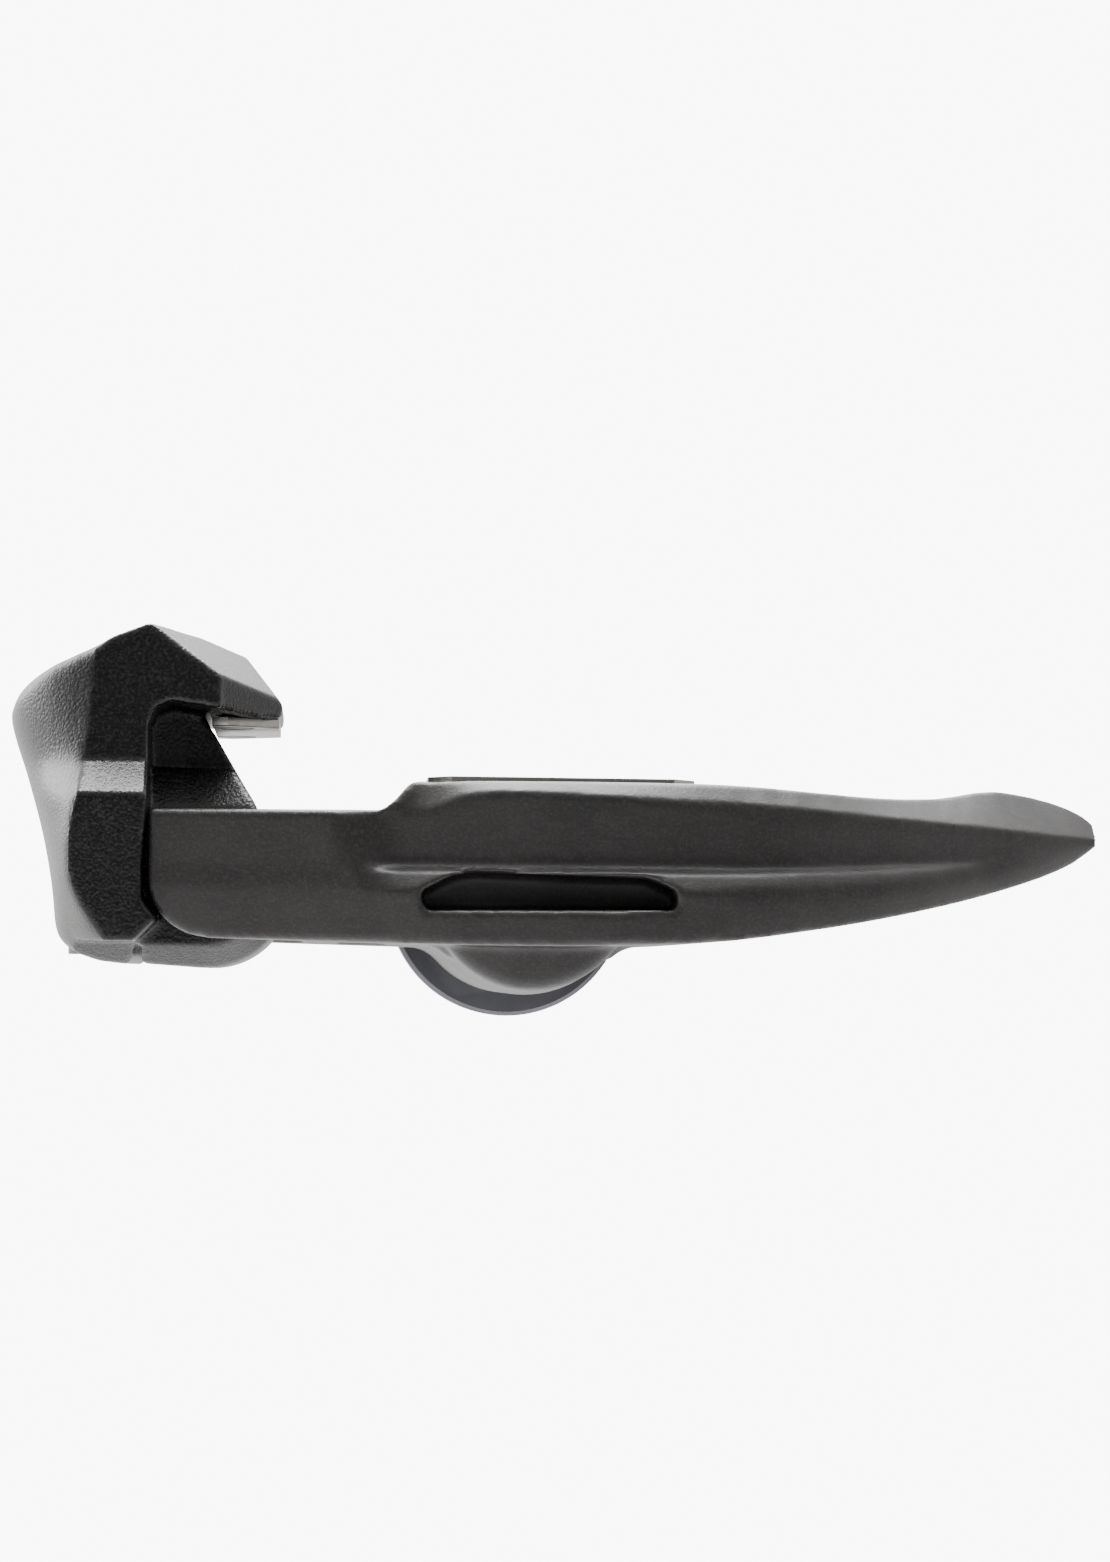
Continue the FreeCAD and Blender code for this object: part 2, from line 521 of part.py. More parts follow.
def make_hinge_pin():
    """Claw hinge pin and the screw plug that keeps it in."""
    back, start = number("0 - $hinge_back"), -21.15
    keep(cylinder("hinge_pin_bar", "$hinge_pin_radius", "$hinge_pin_length",
                  Vector(back, start - SIZE["q_offset"], 0), Vector(0, 1, 0)), "hinge_pin")
    plug = turned("hinge_plug", [("0", "0"), ("$hinge_pin_radius", "0"),
                                 ("$hinge_pin_radius", "1.5"), ("0", "1.5")])
    pocketed(plug, "plug_socket", "XZ_Plane", hexagon("2.0"), "-1.5", "0.9", True)
    set_place(plug, "0 - $hinge_back", f"{start + 0.05} + $hinge_pin_length - $q_offset")
    keep(plug, "hinge_plug")


# ---------------------------------------------------------------- claw group
def bowed_back():
    """Space ahead of the claw's back, which is convex in plan and fuller at the top."""
    steps = [k / 12 for k in range(-12, 13)]
    reach = SIZE["claw_half"] + 1
    levels = []
    for z in CLAW_LEVELS:
        side, middle, half = (curve(line, z) for line in (CLAW_SIDE, CLAW_MIDDLE, CLAW_WIDTH))
        bow = [Vector(middle + (side - middle) * abs(t) ** SIZE["bow_power"], t * half, z)
               for t in steps]
        corners = [Vector(side + 0.8, reach, z), Vector(-10, reach, z), Vector(-10, -reach, z),
                   Vector(side + 0.8, -reach, z)]
        levels.append(Part.makePolygon(bow + corners + bow[:1]))
    return Part.makeLoft(levels, True, True)


def crown_facets(solid):
    """Claw with the two facets that slope from the crown of the lip down to its sides."""
    for sign in (1, -1):
        a, b, c = (Vector(-33.8, sign * 19.2, 23.0), Vector(-27.2, sign * 19, 18.3),
                   Vector(-25.6, sign * 1.5, 21.1))
        normal = (b - a).cross(c - a)
        if normal.z < 0:
            normal = normal * -1
        normal.normalize()
        waste = Part.makeBox(80, 80, 20, Vector(-40, -40, 0))
        waste.Placement = FreeCAD.Placement(a, FreeCAD.Rotation(Vector(0, 0, 1), normal))
        solid = solid.cut(waste.common(Part.makeBox(30, 60, 40, Vector(-33.8, -30, 0))))
    return solid


def knuckle_half_shape(back):
    """One half of the round knuckle on the hinge, its outer end drawn in."""
    half, radius = SIZE["knuckle_half"], SIZE["knuckle_radius"]
    taper = SIZE["knuckle_taper"]
    straight = rod(radius, Vector(back, -1, 0), Vector(back, half - taper, 0))
    return straight.fuse(Part.makeCone(radius, radius - 0.7 * taper, taper,
                                       Vector(back, half - taper, 0), Vector(0, 1, 0)))


def make_claw():
    """Moulded rear claw: knuckle on the hinge, arms, and the lip that holds the cleat."""
    front, back = -SIZE["claw_front"], -SIZE["hinge_back"]
    half, knuckle, radius = SIZE["claw_half"], SIZE["knuckle_half"], SIZE["knuckle_radius"]
    outline = [(-33.7, 7.2), (-34.1, 1.5), (-34.0, -1.6), (-32.7, -3.25), (-34.6, -5.15),
               (-35.3, -7.2), (-38.0, -6.9), (-39.8, -6.3), (-41.3, -5.5), (-42.1, -4.6),
               (-42.6, -3.0), (-44.0, 0), (-48.0, 12.0), (-48.0, 14.4), (-47.1, 15.0),
               (-46.6, 16.0), (-46.0, 16.9), (-45.2, 17.7), (-44.2, 18.4), (-42.8, 19.2),
               (-38.5, 20.9), (-37.4, 21.6), (-33.8, 23.0), (-29.6, 22.5), (-25.6, 21.3),
               (-22.1, 16.4), (-22.3, 14.7), (-28.0, 15.5), (-31.9, 16.1), (-33.3, 15.4),
               (front, 13.9)]
    solid = prism("y", outline, -half, half).common(bowed_back())
    # cross-section: narrow top, sloping ledges, wide arms, and a lower belly between them
    profile = [(half, -5.15), (half, 7.7), (20.4, 10.7), (19.0, 24), (-19.0, 24), (-20.4, 10.7),
               (-half, 7.7), (-half, -5.15), (-18.3, -5.15), (-15.0, -7.6), (15.0, -7.6),
               (18.3, -5.15)]
    solid = solid.common(prism("x", profile, -60, 0))
    # the lip narrows forwards
    lip_waste = prism("z", [(-27.4, 19.2), (-21.9, 9.0), (-21.9, 30), (-27.4, 30)], 11, 30)
    solid = crown_facets(solid.cut(both_sides(lip_waste)))
    # knuckle, the floor between it and the back, and the column that rises to the lip
    solid = solid.fuse(both_sides(knuckle_half_shape(back)))
    floor = prism("y", [(front - 0.3, -7.1), (front - 0.3, 10.2), (-26.2, 10.2), (-24.4, 7.3),
                        (-22.6, 3.4), (back, 0), (back, -radius)], -knuckle, knuckle)
    floor = floor.common(prism("x", [(-knuckle, -5.4), (-knuckle, 6.7), (-15.3, 10.2),
                                     (15.3, 10.2), (knuckle, 6.7), (knuckle, -5.4), (15.0, -7.6),
                                     (-15.0, -7.6)], -60, 0))
    column = prism("y", [(front - 0.3, 8), (front - 0.3, 16.2), (-29.6, 15.6), (-28.9, 14.9),
                         (-24.4, 7.3), (-25, 6)], -16, 16)
    column = column.common(prism("z", [(front - 0.3, -11.5), (-30.5, -9.8), (-22, -7.8),
                                       (-22, 7.8), (-30.5, 9.8), (front - 0.3, 11.5)], 0, 30))
    solid = solid.fuse([floor, column])
    # pin bore, spring chamber open to the front, cavity for the tension plate, bolt bore
    cuts = [rod(SIZE["hinge_pin_radius"] + 0.03, Vector(back, -30, 0), Vector(back, 30, 0))]
    wide = SIZE["chamber_half"]
    cuts.append(rod(SIZE["chamber_radius"], Vector(back, -wide, 0), Vector(back, wide, 0)))
    cuts.append(prism("y", [(-41.0, 0.1), (-41.4, 8.6), (-35.0, 8.6), (-31, 4.6), (-31, 0.1)],
                      -13, 13))
    cuts.append(Part.makeBox(9, 2 * wide, 13.2, Vector(back, -wide, -8.0)))
    bolt = -SIZE["bolt_back"]
    cuts.append(rod(SIZE["bolt_radius"] + 0.03, Vector(bolt, 0, -10), Vector(bolt, 0, 11.5)))
    cuts.append(rod(SIZE["bolt_head_radius"] + 0.2, Vector(bolt, 0, -10), Vector(bolt, 0, -3.4)))
    # seat of the lip insert and its screw holes
    top = SIZE["insert_height"] + SIZE["insert_thick"] + 0.02
    cuts.append(Part.makeBox(7.7, 24.8, top - 13.9, Vector(-28.7, -12.4, 13.9)))
    for y in (-SIZE["insert_screw_y"], SIZE["insert_screw_y"]):
        cuts.append(rod(1.02, Vector(-26.6, y, 14), Vector(-26.6, y, 18.6)))
    feature("rear_claw", solid.cut(cuts))


def make_claw_parts():
    """Lip insert with its screws, spring cover, tension plate and tension bolt."""
    insert = padded("lip_insert", "XY_Plane", [
        ("-28.4", "-11.8"), ("-27", "-12.2"), ("-22.4", "-8.4"), ("-22.4", "8.4"),
        ("-27", "12.2"), ("-28.4", "11.8")], "$insert_thick")
    set_place(insert, "0", "0 - $q_offset", "$insert_height")
    low = SIZE["insert_height"]
    holes, screws = [], []
    for i, y in enumerate((-SIZE["insert_screw_y"], SIZE["insert_screw_y"])):
        base = Vector(-26.6, y - SIZE["q_offset"], low - 1)
        holes.append(cylinder(f"insert_hole_{i}", "1.05", "3", base, Vector(0, 0, 1)))
        holes.append(cylinder(f"insert_sink_{i}", "1.95", "1.5", base, Vector(0, 0, 1)))
        head = Part.makeCylinder(1.9, 0.45, Vector(-26.6, y, low + 0.03))
        slot = Part.makeBox(4, 0.6, 0.25, Vector(-28.6, y - 0.3, low + 0.03))
        shank = rod(1.0, Vector(-26.6, y, low + 0.4), Vector(-26.6, y, 18.4))
        screws.append(shank.fuse(head).cut(slot))
    cut_by("lip_insert", insert, holes)
    feature("insert_screws", Part.makeCompound(screws))

    back, gap = -SIZE["hinge_back"], 0.3
    wide = SIZE["chamber_half"] - gap
    shell = rod(SIZE["knuckle_radius"], Vector(back, -wide, 0), Vector(back, wide, 0))
    shell = shell.cut(rod(SIZE["chamber_radius"] + 0.1, Vector(back, -20, 0), Vector(back, 20, 0)))
    feature("spring_cover", shell.common(Part.makeBox(9, 2 * wide, 9, Vector(back + gap, -wide,
                                                                             -9))))

    plate = padded("tension_plate", "XZ_Plane", [
        ("-40.8", "2.6"), ("-36", "2.6"), ("-34.4", "3.6"), ("-34.4", "5"), ("-40.8", "5")],
        "25", True)
    set_place(plate, "0", "0 - $q_offset", "0")
    hole = cylinder("plate_hole", "$bolt_radius + 0.04", "9",
                    Vector(-SIZE["bolt_back"], -SIZE["q_offset"], 0), Vector(0, 0, 1))
    cut_by("tension_plate", plate, [hole])

    bolt = turned("tension_bolt", [
        ("0", "-6.3"), ("$bolt_head_radius", "-6.3"), ("$bolt_head_radius", "-3.45"),
        ("$bolt_radius", "-3.45"), ("$bolt_radius", "10.8"), ("0", "10.8")], "XZ_Plane")
    pocketed(bolt, "bolt_socket", "XY_Plane", hexagon("3.0"), "-6.3", "2.2", True)
    set_place(bolt, "0 - $bolt_back", "0 - $q_offset", "0")
    keep(bolt, "tension_bolt")


def make_springs():
    """Two torsion springs around the hinge pin, as closed coils with two straight legs."""
    wire, mean, turns = SIZE["spring_wire"], SIZE["spring_mean"], int(SIZE["spring_turns"])
    pitch = 2 * wire + 0.1
    back = -SIZE["hinge_back"]
    leg = 0.98 * wire
    tie = Vector(mean * math.cos(math.radians(200)), 0, mean * math.sin(math.radians(200)))
    for name, sign in (("outer_spring", -1), ("inner_spring", 1)):
        rings = []
        for k in range(turns):
            centre = Vector(back, sign * (3.2 + pitch * k), 0)
            ring = Part.makeTorus(mean, wire, centre, Vector(0, 1, 0))
            ring.rotate(centre, Vector(0, 1, 0), 37)
            rings.append(ring)
        first, last = sign * 3.2, sign * (3.2 + pitch * (turns - 1))
        bars = [rod(0.35, Vector(back, first, 0) + tie, Vector(back, last, 0) + tie),
                rod(leg, Vector(back + 1.0, first, mean - 0.12), Vector(-36.5, first, 1.25)),
                rod(leg, Vector(back - 1.0, last, mean - 0.12), Vector(-18.7, last, 3.0))]
        feature(name, rings[0].fuse(rings[1:] + bars))


make_spindle()
make_spindle_rings()
make_rollers()
make_body()
make_wear_plate()
make_barrel_parts()
make_hinge_pin()
make_claw()
make_claw_parts()
make_springs()
doc.recompute()

for item in doc.Objects:
    if "Invalid" in item.State or "Error" in item.State:
        raise RuntimeError(f"{item.Label} failed: {item.State}")
os.makedirs("parts", exist_ok=True)
for old in os.listdir("parts"):
    os.remove(os.path.join("parts", old))
for part in NODES:
    shape = part.Shape
    if shape.isNull() or not shape.isValid() or not shape.Solids:
        raise RuntimeError(f"{part.Label} is not a valid solid")
    print(f"{part.Label}: {len(shape.Solids)} solid(s), {shape.Volume:.1f} mm3")
    shape.exportStep(f"parts/{part.Label}.step")
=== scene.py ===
"""Clip-in road pedal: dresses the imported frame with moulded, turned, sprung and screwed pieces."""

import json
import logging
import math
from dataclasses import dataclass
from enum import Enum
from typing import Any, Callable, ClassVar, Iterable, Sequence

import bmesh
import bpy
import numpy as np
from bmesh.types import BMesh, BMVert
from bpy.types import Material, Mesh, Node, NodeOutputs, NodeSocket, NodeTree, Object
from mathutils import Matrix, Vector

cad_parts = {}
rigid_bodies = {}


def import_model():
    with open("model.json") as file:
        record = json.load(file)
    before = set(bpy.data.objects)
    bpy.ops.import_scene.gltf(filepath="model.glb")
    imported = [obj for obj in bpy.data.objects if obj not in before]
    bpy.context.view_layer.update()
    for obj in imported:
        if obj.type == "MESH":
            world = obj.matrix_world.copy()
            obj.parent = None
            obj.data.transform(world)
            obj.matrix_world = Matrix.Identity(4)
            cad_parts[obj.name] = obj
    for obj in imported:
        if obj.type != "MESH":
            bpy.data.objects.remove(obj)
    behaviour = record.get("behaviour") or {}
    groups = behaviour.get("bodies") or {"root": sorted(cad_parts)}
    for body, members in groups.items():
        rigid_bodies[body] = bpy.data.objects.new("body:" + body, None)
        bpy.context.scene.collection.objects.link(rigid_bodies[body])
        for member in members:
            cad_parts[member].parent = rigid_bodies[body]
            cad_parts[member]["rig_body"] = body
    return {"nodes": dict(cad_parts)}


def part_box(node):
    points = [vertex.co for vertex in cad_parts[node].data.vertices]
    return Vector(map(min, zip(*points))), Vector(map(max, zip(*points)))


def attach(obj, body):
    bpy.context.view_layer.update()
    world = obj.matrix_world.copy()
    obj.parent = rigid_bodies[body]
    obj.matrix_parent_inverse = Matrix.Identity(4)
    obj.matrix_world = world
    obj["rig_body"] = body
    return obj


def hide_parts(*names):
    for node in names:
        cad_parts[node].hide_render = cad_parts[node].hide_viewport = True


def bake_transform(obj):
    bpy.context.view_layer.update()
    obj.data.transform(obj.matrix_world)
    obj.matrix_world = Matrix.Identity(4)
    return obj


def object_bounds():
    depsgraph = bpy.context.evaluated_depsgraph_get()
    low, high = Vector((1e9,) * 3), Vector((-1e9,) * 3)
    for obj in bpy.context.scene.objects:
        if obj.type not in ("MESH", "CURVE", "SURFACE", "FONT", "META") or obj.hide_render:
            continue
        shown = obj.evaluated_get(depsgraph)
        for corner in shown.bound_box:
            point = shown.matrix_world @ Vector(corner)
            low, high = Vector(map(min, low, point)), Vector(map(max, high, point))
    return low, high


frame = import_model()
CAD_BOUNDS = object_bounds()
LOG = logging.getLogger("pedal")
MM = 0.001
MERGE_DISTANCE = 0.002 * MM
CREASE_ANGLE = 35.0
SOCKET_CREASE_ANGLE = 30.0
WIRE_CREASE_ANGLE = 50.0
BEVEL_SEGMENTS = 3
SHORTEST_EDGE = 1e-7
RELAX_FACTOR = 0.5
MOST_TRIANGLES = 190_000


# -------------------- node trees
class Graph:
    """Adds, sets and links the nodes of one shader or geometry tree."""

    def __init__(self, tree: NodeTree) -> None:
        """Wraps an existing tree."""
        self.tree = tree

    def add(self, kind: str, inputs: dict[Any, Any] | None = None, **settings: Any) -> Node:
        """Adds a node.

        Args:
            kind: the node's type name.
            inputs: input name or index to a value, or to the socket that feeds it.
            settings: properties of the node itself.

        Returns:
            The new node.
        """
        node = self.tree.nodes.new(kind)
        for name, value in settings.items():
            setattr(node, name, value)
        for key, value in (inputs or {}).items():
            if isinstance(value, NodeSocket):
                self.link(value, node, key)
            else:
                node.inputs[key].default_value = value
        return node

    def link(self, source: NodeSocket, node: Node, key: Any) -> None:
        """Feeds one input of a node, given by its name or index."""
        self.tree.links.new(source, node.inputs[key])

    def math(self, operation: str, first: Any, second: Any = 0.0) -> NodeSocket:
        """Adds one arithmetic node and returns its result."""
        return self.add("ShaderNodeMath", {0: first, 1: second}, operation=operation).outputs[0]

    def vector_math(self, operation: str, first: Any, second: Any = (0.0, 0.0, 0.0)) -> Node:
        """Adds one vector arithmetic node and returns it."""
        return self.add("ShaderNodeVectorMath", {0: first, 1: second}, operation=operation)

    def noise(self, vector: NodeSocket, scale: Any, detail: float, distortion: float = 0.0) -> NodeSocket:
        """Adds a noise texture and returns its value."""
        node = self.add("ShaderNodeTexNoise", {"Vector": vector, "Scale": scale, "Detail": detail,
                                               "Distortion": distortion})
        return node.outputs["Fac"]

    def blend(self, factor: Any, first: Any, second: Any) -> NodeSocket:
        """Mixes two colours by a factor and returns the result."""
        return self.add("ShaderNodeMix", {0: factor, 6: first, 7: second}, data_type="RGBA").outputs[2]

    def ramp(self, value: NodeSocket, low: float, high: float,
             bottom: float = 0.0, top: float = 1.0) -> NodeSocket:
        """Maps a range of a value onto another range, clamped."""
        node = self.add("ShaderNodeMapRange", {0: value, 1: low, 2: high, 3: bottom, 4: top})
        return node.outputs[0]


@dataclass(frozen=True)
class Socket:
    """A named socket of a node group."""

    name: str
    kind: str
    default: Any = None


FLOAT, VECTOR = "NodeSocketFloat", "NodeSocketVector"
GEOMETRY, INTEGER, MATERIAL = "NodeSocketGeometry", "NodeSocketInt", "NodeSocketMaterial"


def node_group(name: str, kind: str, inputs: Sequence[Socket], outputs: Sequence[Socket],
               ) -> tuple[Graph, NodeOutputs, Node]:
    """Makes an empty node group with its sockets.

    Args:
        name: the group's name.
        kind: "ShaderNodeTree" or "GeometryNodeTree".
        inputs: the sockets it takes.
        outputs: the sockets it gives.

    Returns:
        The graph, the values that it is given and its output node.
    """
    tree = bpy.data.node_groups.new(name, kind)
    for sockets, side in ((inputs, "INPUT"), (outputs, "OUTPUT")):
        for socket in sockets:
            made = tree.interface.new_socket(socket.name, in_out=side, socket_type=socket.kind)
            if socket.default is not None:
                made.default_value = socket.default
    graph = Graph(tree)
    return graph, graph.add("NodeGroupInput").outputs, graph.add("NodeGroupOutput")


class Effects:
    """Shader node groups that several finishes share."""

    def __init__(self) -> None:
        """Builds each group once."""
        self.pebble = self._pebble()
        self.wear = self._wear()
        self.brushing = self._brushing()
        self.mottle = self._mottle()

    @staticmethod
    def _start(name: str, inputs: Sequence[Socket], outputs: Sequence[str],
               ) -> tuple[Graph, NodeOutputs, Node]:
        """Starts a group that takes a place and its own inputs, and gives named values."""
        return node_group(name, "ShaderNodeTree", [Socket("Vector", VECTOR), *inputs],
                          [Socket(output, FLOAT) for output in outputs])

    @staticmethod
    def _pebble() -> NodeTree:
        """Raised grain of a spark-eroded mould: small rounded bumps of uneven height."""
        graph, given, out = Effects._start(
            "Pebble grain", [Socket("Grain", FLOAT, 2600.0), Socket("Unevenness", FLOAT, 0.5)],
            ("Height", "Fleck", "Speck"))
        cells = graph.add("ShaderNodeTexVoronoi", {"Vector": given["Vector"], "Scale": given["Grain"]})
        cells.feature = "SMOOTH_F1"
        scale = graph.math("MULTIPLY", given["Grain"], 0.9)
        fine = graph.noise(given["Vector"], scale, 3.0)
        dome = graph.math("SUBTRACT", 1.0, cells.outputs["Distance"])
        uneven = graph.math("MULTIPLY", fine, given["Unevenness"])
        graph.link(graph.math("ADD", dome, uneven), out, "Height")
        graph.link(graph.ramp(fine, 0.35, 0.7), out, "Fleck")
        graph.link(graph.ramp(fine, 0.5, 0.66), out, "Speck")
        return graph.tree

    @staticmethod
    def _wear() -> NodeTree:
        """Mask of rubbed convex edges, broken up by noise, from the piece's edge attribute."""
        graph, given, out = Effects._start(
            "Edge wear", [Socket("Amount", FLOAT, 0.5), Socket("Patchiness", FLOAT, 240.0)], ("Mask",))
        edge = graph.add("ShaderNodeAttribute", attribute_name="edge")
        patch = graph.ramp(graph.noise(given["Vector"], given["Patchiness"], 5.0), 0.3, 0.7)
        raw = graph.math("MULTIPLY", edge.outputs["Fac"], patch)
        graph.link(graph.math("MULTIPLY", raw, given["Amount"]), out, "Mask")
        return graph.tree

    @staticmethod
    def _brushing() -> NodeTree:
        """Fine parallel lines left by grinding or turning, stretched along one axis."""
        graph, given, out = Effects._start(
            "Brushing", [Socket("Stretch", VECTOR, (1.0, 1.0, 1.0)), Socket("Fineness", FLOAT, 900.0)],
            ("Lines", "Height"))
        drawn = graph.vector_math("MULTIPLY", given["Vector"], given["Stretch"])
        noise = graph.noise(drawn.outputs[0], given["Fineness"], 4.0)
        graph.link(graph.ramp(noise, 0.3, 0.7), out, "Lines")
        graph.link(noise, out, "Height")
        return graph.tree

    @staticmethod
    def _mottle() -> NodeTree:
        """Cloudy flow marks of a fibre-filled moulding, with short streaks of fibre."""
        graph, given, out = Effects._start(
            "Flow mottle", [Socket("Cloud", FLOAT, 90.0), Socket("Streak", FLOAT, 900.0)],
            ("Clouds", "Streaks"))
        clouds = graph.noise(given["Vector"], given["Cloud"], 6.0, 1.2)
        drawn = graph.vector_math("MULTIPLY", given["Vector"], (0.35, 1.0, 1.6))
        streaks = graph.noise(drawn.outputs[0], given["Streak"], 3.0, 0.8)
        graph.link(graph.ramp(clouds, 0.3, 0.72), out, "Clouds")
        graph.link(graph.ramp(streaks, 0.45, 0.75), out, "Streaks")
        return graph.tree


# -------------------- finishes
Rgb = Place = tuple[float, float, float]


def solid(colour: Rgb, gain: float = 1.0) -> tuple[float, float, float, float]:
    """Opaque colour from its three parts, made paler or darker by a factor."""
    return (*(min(1.0, gain * part) for part in colour), 1.0)


@dataclass(frozen=True)
class Finish:
    """Base of every finish: a Principled shader fed by the shared effects."""

    name: str
    colour: Rgb

    def start(self) -> tuple[Graph, Node, NodeSocket, Material]:
        """Makes the empty material.

        Returns:
            The graph, the Principled node, the object coordinates and the material.
        """
        material = bpy.data.materials.new(self.name)
        material.use_nodes = True
        graph = Graph(material.node_tree)
        shader = material.node_tree.nodes["Principled BSDF"]
        shader.inputs["Base Color"].default_value = solid(self.colour)
        place = graph.add("ShaderNodeTexCoord").outputs["Object"]
        return graph, shader, place, material

    @staticmethod
    def effect(graph: Graph, tree: NodeTree, place: NodeSocket, **values: Any) -> Node:
        """Places a shared effect in a material, with the material's own values."""
        node = graph.add("ShaderNodeGroup", node_tree=tree)
        graph.link(place, node, "Vector")
        for name, value in values.items():
            node.inputs[name].default_value = value
        return node

    @staticmethod
    def bump(graph: Graph, shader: Node, height: NodeSocket, depth: float,
             strength: float = 1.0) -> None:
        """Turns a height, with its depth in millimetres, into the shader's normal."""
        node = graph.add("ShaderNodeBump", {"Height": height, "Distance": depth * MM,
                                            "Strength": strength})
        graph.link(node.outputs["Normal"], shader, "Normal")


@dataclass(frozen=True)
class Moulded(Finish):
    """Fibre-filled moulding: satin, grained, a little paler where it is rubbed."""

    CLOUD_GAIN: ClassVar[float] = 1.9
    STREAK_GAIN: ClassVar[float] = 2.6
    STREAK_SHARE: ClassVar[float] = 0.5
    FLECK_DULLING: ClassVar[float] = 0.1
    CLOUD_GLOSS: ClassVar[float] = 0.08
    RUBBED_GLOSS: ClassVar[float] = 0.12

    rubbed: Rgb
    roughness: float
    grain: float
    depth: float
    wear: float
    cloudiness: float
    specks: float

    def build(self, effects: Effects) -> Material:
        """Returns the finished material."""
        graph, shader, place, material = self.start()
        pebble = self.effect(graph, effects.pebble, place, Grain=self.grain)
        wear = self.effect(graph, effects.wear, place, Amount=self.wear)
        mottle = self.effect(graph, effects.mottle, place)
        clouds = graph.math("MULTIPLY", mottle.outputs["Clouds"], self.cloudiness)
        base = graph.blend(clouds, solid(self.colour), solid(self.colour, self.CLOUD_GAIN))
        streaks = graph.math("MULTIPLY", mottle.outputs["Streaks"], self.STREAK_SHARE * self.cloudiness)
        base = graph.blend(streaks, base, solid(self.colour, self.STREAK_GAIN))
        specks = graph.math("MULTIPLY", pebble.outputs["Speck"], self.specks)
        base = graph.blend(specks, base, solid(self.rubbed))
        base = graph.blend(wear.outputs["Mask"], base, solid(self.rubbed))
        graph.link(base, shader, "Base Color")
        rough = graph.math("ADD", graph.math("MULTIPLY", pebble.outputs["Fleck"], self.FLECK_DULLING),
                           graph.math("MULTIPLY", clouds, -self.CLOUD_GLOSS))
        rough = graph.math("ADD", rough, self.roughness)
        gloss = graph.math("MULTIPLY", wear.outputs["Mask"], self.RUBBED_GLOSS)
        graph.link(graph.math("SUBTRACT", rough, gloss), shader, "Roughness")
        self.bump(graph, shader, pebble.outputs["Height"], self.depth)
        return material


@dataclass(frozen=True)
class Brushed(Finish):
    """Ground or turned metal with fine lines along one direction."""

    LINE_GAIN: ClassVar[float] = 0.8
    RUBBED_GAIN: ClassVar[float] = 1.25
    LINE_DULLING: ClassVar[float] = 0.07
    LINE_GLOSS: ClassVar[float] = 0.05
    BUMP: ClassVar[float] = 0.6

    roughness: float
    stretch: Rgb
    fineness: float
    depth: float = 0.004

    def build(self, effects: Effects) -> Material:
        """Returns the finished material."""
        graph, shader, place, material = self.start()
        shader.inputs["Metallic"].default_value = 1.0
        lines = self.effect(graph, effects.brushing, place, Stretch=self.stretch, Fineness=self.fineness)
        wear = self.effect(graph, effects.wear, place)
        base = graph.blend(lines.outputs["Lines"], solid(self.colour, self.LINE_GAIN), solid(self.colour))
        base = graph.blend(wear.outputs["Mask"], base, solid(self.colour, self.RUBBED_GAIN))
        graph.link(base, shader, "Base Color")
        rough = graph.ramp(lines.outputs["Lines"], 0.0, 1.0, self.roughness + self.LINE_DULLING,
                           self.roughness - self.LINE_GLOSS)
        graph.link(rough, shader, "Roughness")
        self.bump(graph, shader, lines.outputs["Height"], self.depth, self.BUMP)
        return material


@dataclass(frozen=True)
class Rubber(Finish):
    """Matt seal rubber with dust in its pores."""

    dust: Rgb = (0.05, 0.05, 0.048)
    roughness: float = 0.75
    dust_dulling: float = 0.15
    depth: float = 0.01

    def build(self, effects: Effects) -> Material:
        """Returns the finished material."""
        graph, shader, place, material = self.start()
        pebble = self.effect(graph, effects.pebble, place)
        fleck = pebble.outputs["Fleck"]
        graph.link(graph.blend(fleck, solid(self.colour), solid(self.dust)), shader, "Base Color")
        rough = graph.ramp(fleck, 0.0, 1.0, self.roughness, self.roughness + self.dust_dulling)
        graph.link(rough, shader, "Roughness")
        self.bump(graph, shader, pebble.outputs["Height"], self.depth)
        return material


class Surface(Enum):
    """The finishes of the pedal."""

    BODY = Moulded("Carbon-filled body moulding", (0.0168, 0.0155, 0.0152), (0.060, 0.057, 0.056),
                   roughness=0.43, grain=4200.0, depth=0.012, wear=0.6, cloudiness=0.8, specks=0.35)
    CLAW = Moulded("Pebbled claw moulding", (0.0055, 0.0055, 0.006), (0.035, 0.035, 0.037),
                   roughness=0.28, grain=3900.0, depth=0.036, wear=0.4, cloudiness=0.25, specks=0.6)
    COVER = Moulded("Smooth cover moulding", (0.018, 0.018, 0.018), (0.06, 0.06, 0.06),
                    roughness=0.34, grain=6000.0, depth=0.006, wear=0.5, cloudiness=0.3, specks=0.2)
    PLATE = Brushed("Brushed stainless sheet", (0.62, 0.60, 0.57), 0.30, (0.05, 1.0, 1.0), 1500.0)
    SPINDLE = Brushed("Turned spindle steel", (0.47, 0.47, 0.48), 0.24, (1.0, 14.0, 1.0), 260.0)
    COLLAR = Brushed("Black anodised collar", (0.10, 0.10, 0.112), 0.18, (1.0, 12.0, 1.0), 300.0)
    BEARING = Brushed("Polished bearing steel", (0.66, 0.66, 0.67), 0.12, (1.0, 6.0, 1.0), 300.0, 0.001)
    ALLOY = Brushed("Machined sleeve alloy", (0.6, 0.6, 0.61), 0.3, (1.0, 10.0, 1.0), 260.0)
    SCREW = Brushed("Dark screw steel", (0.2, 0.2, 0.205), 0.3, (1.0, 1.0, 1.0), 800.0)
    SPRING = Brushed("Oiled spring wire", (0.3, 0.3, 0.31), 0.26, (1.0, 3.0, 1.0), 700.0)
    SEAL = Rubber("Seal rubber", (0.018, 0.018, 0.018))


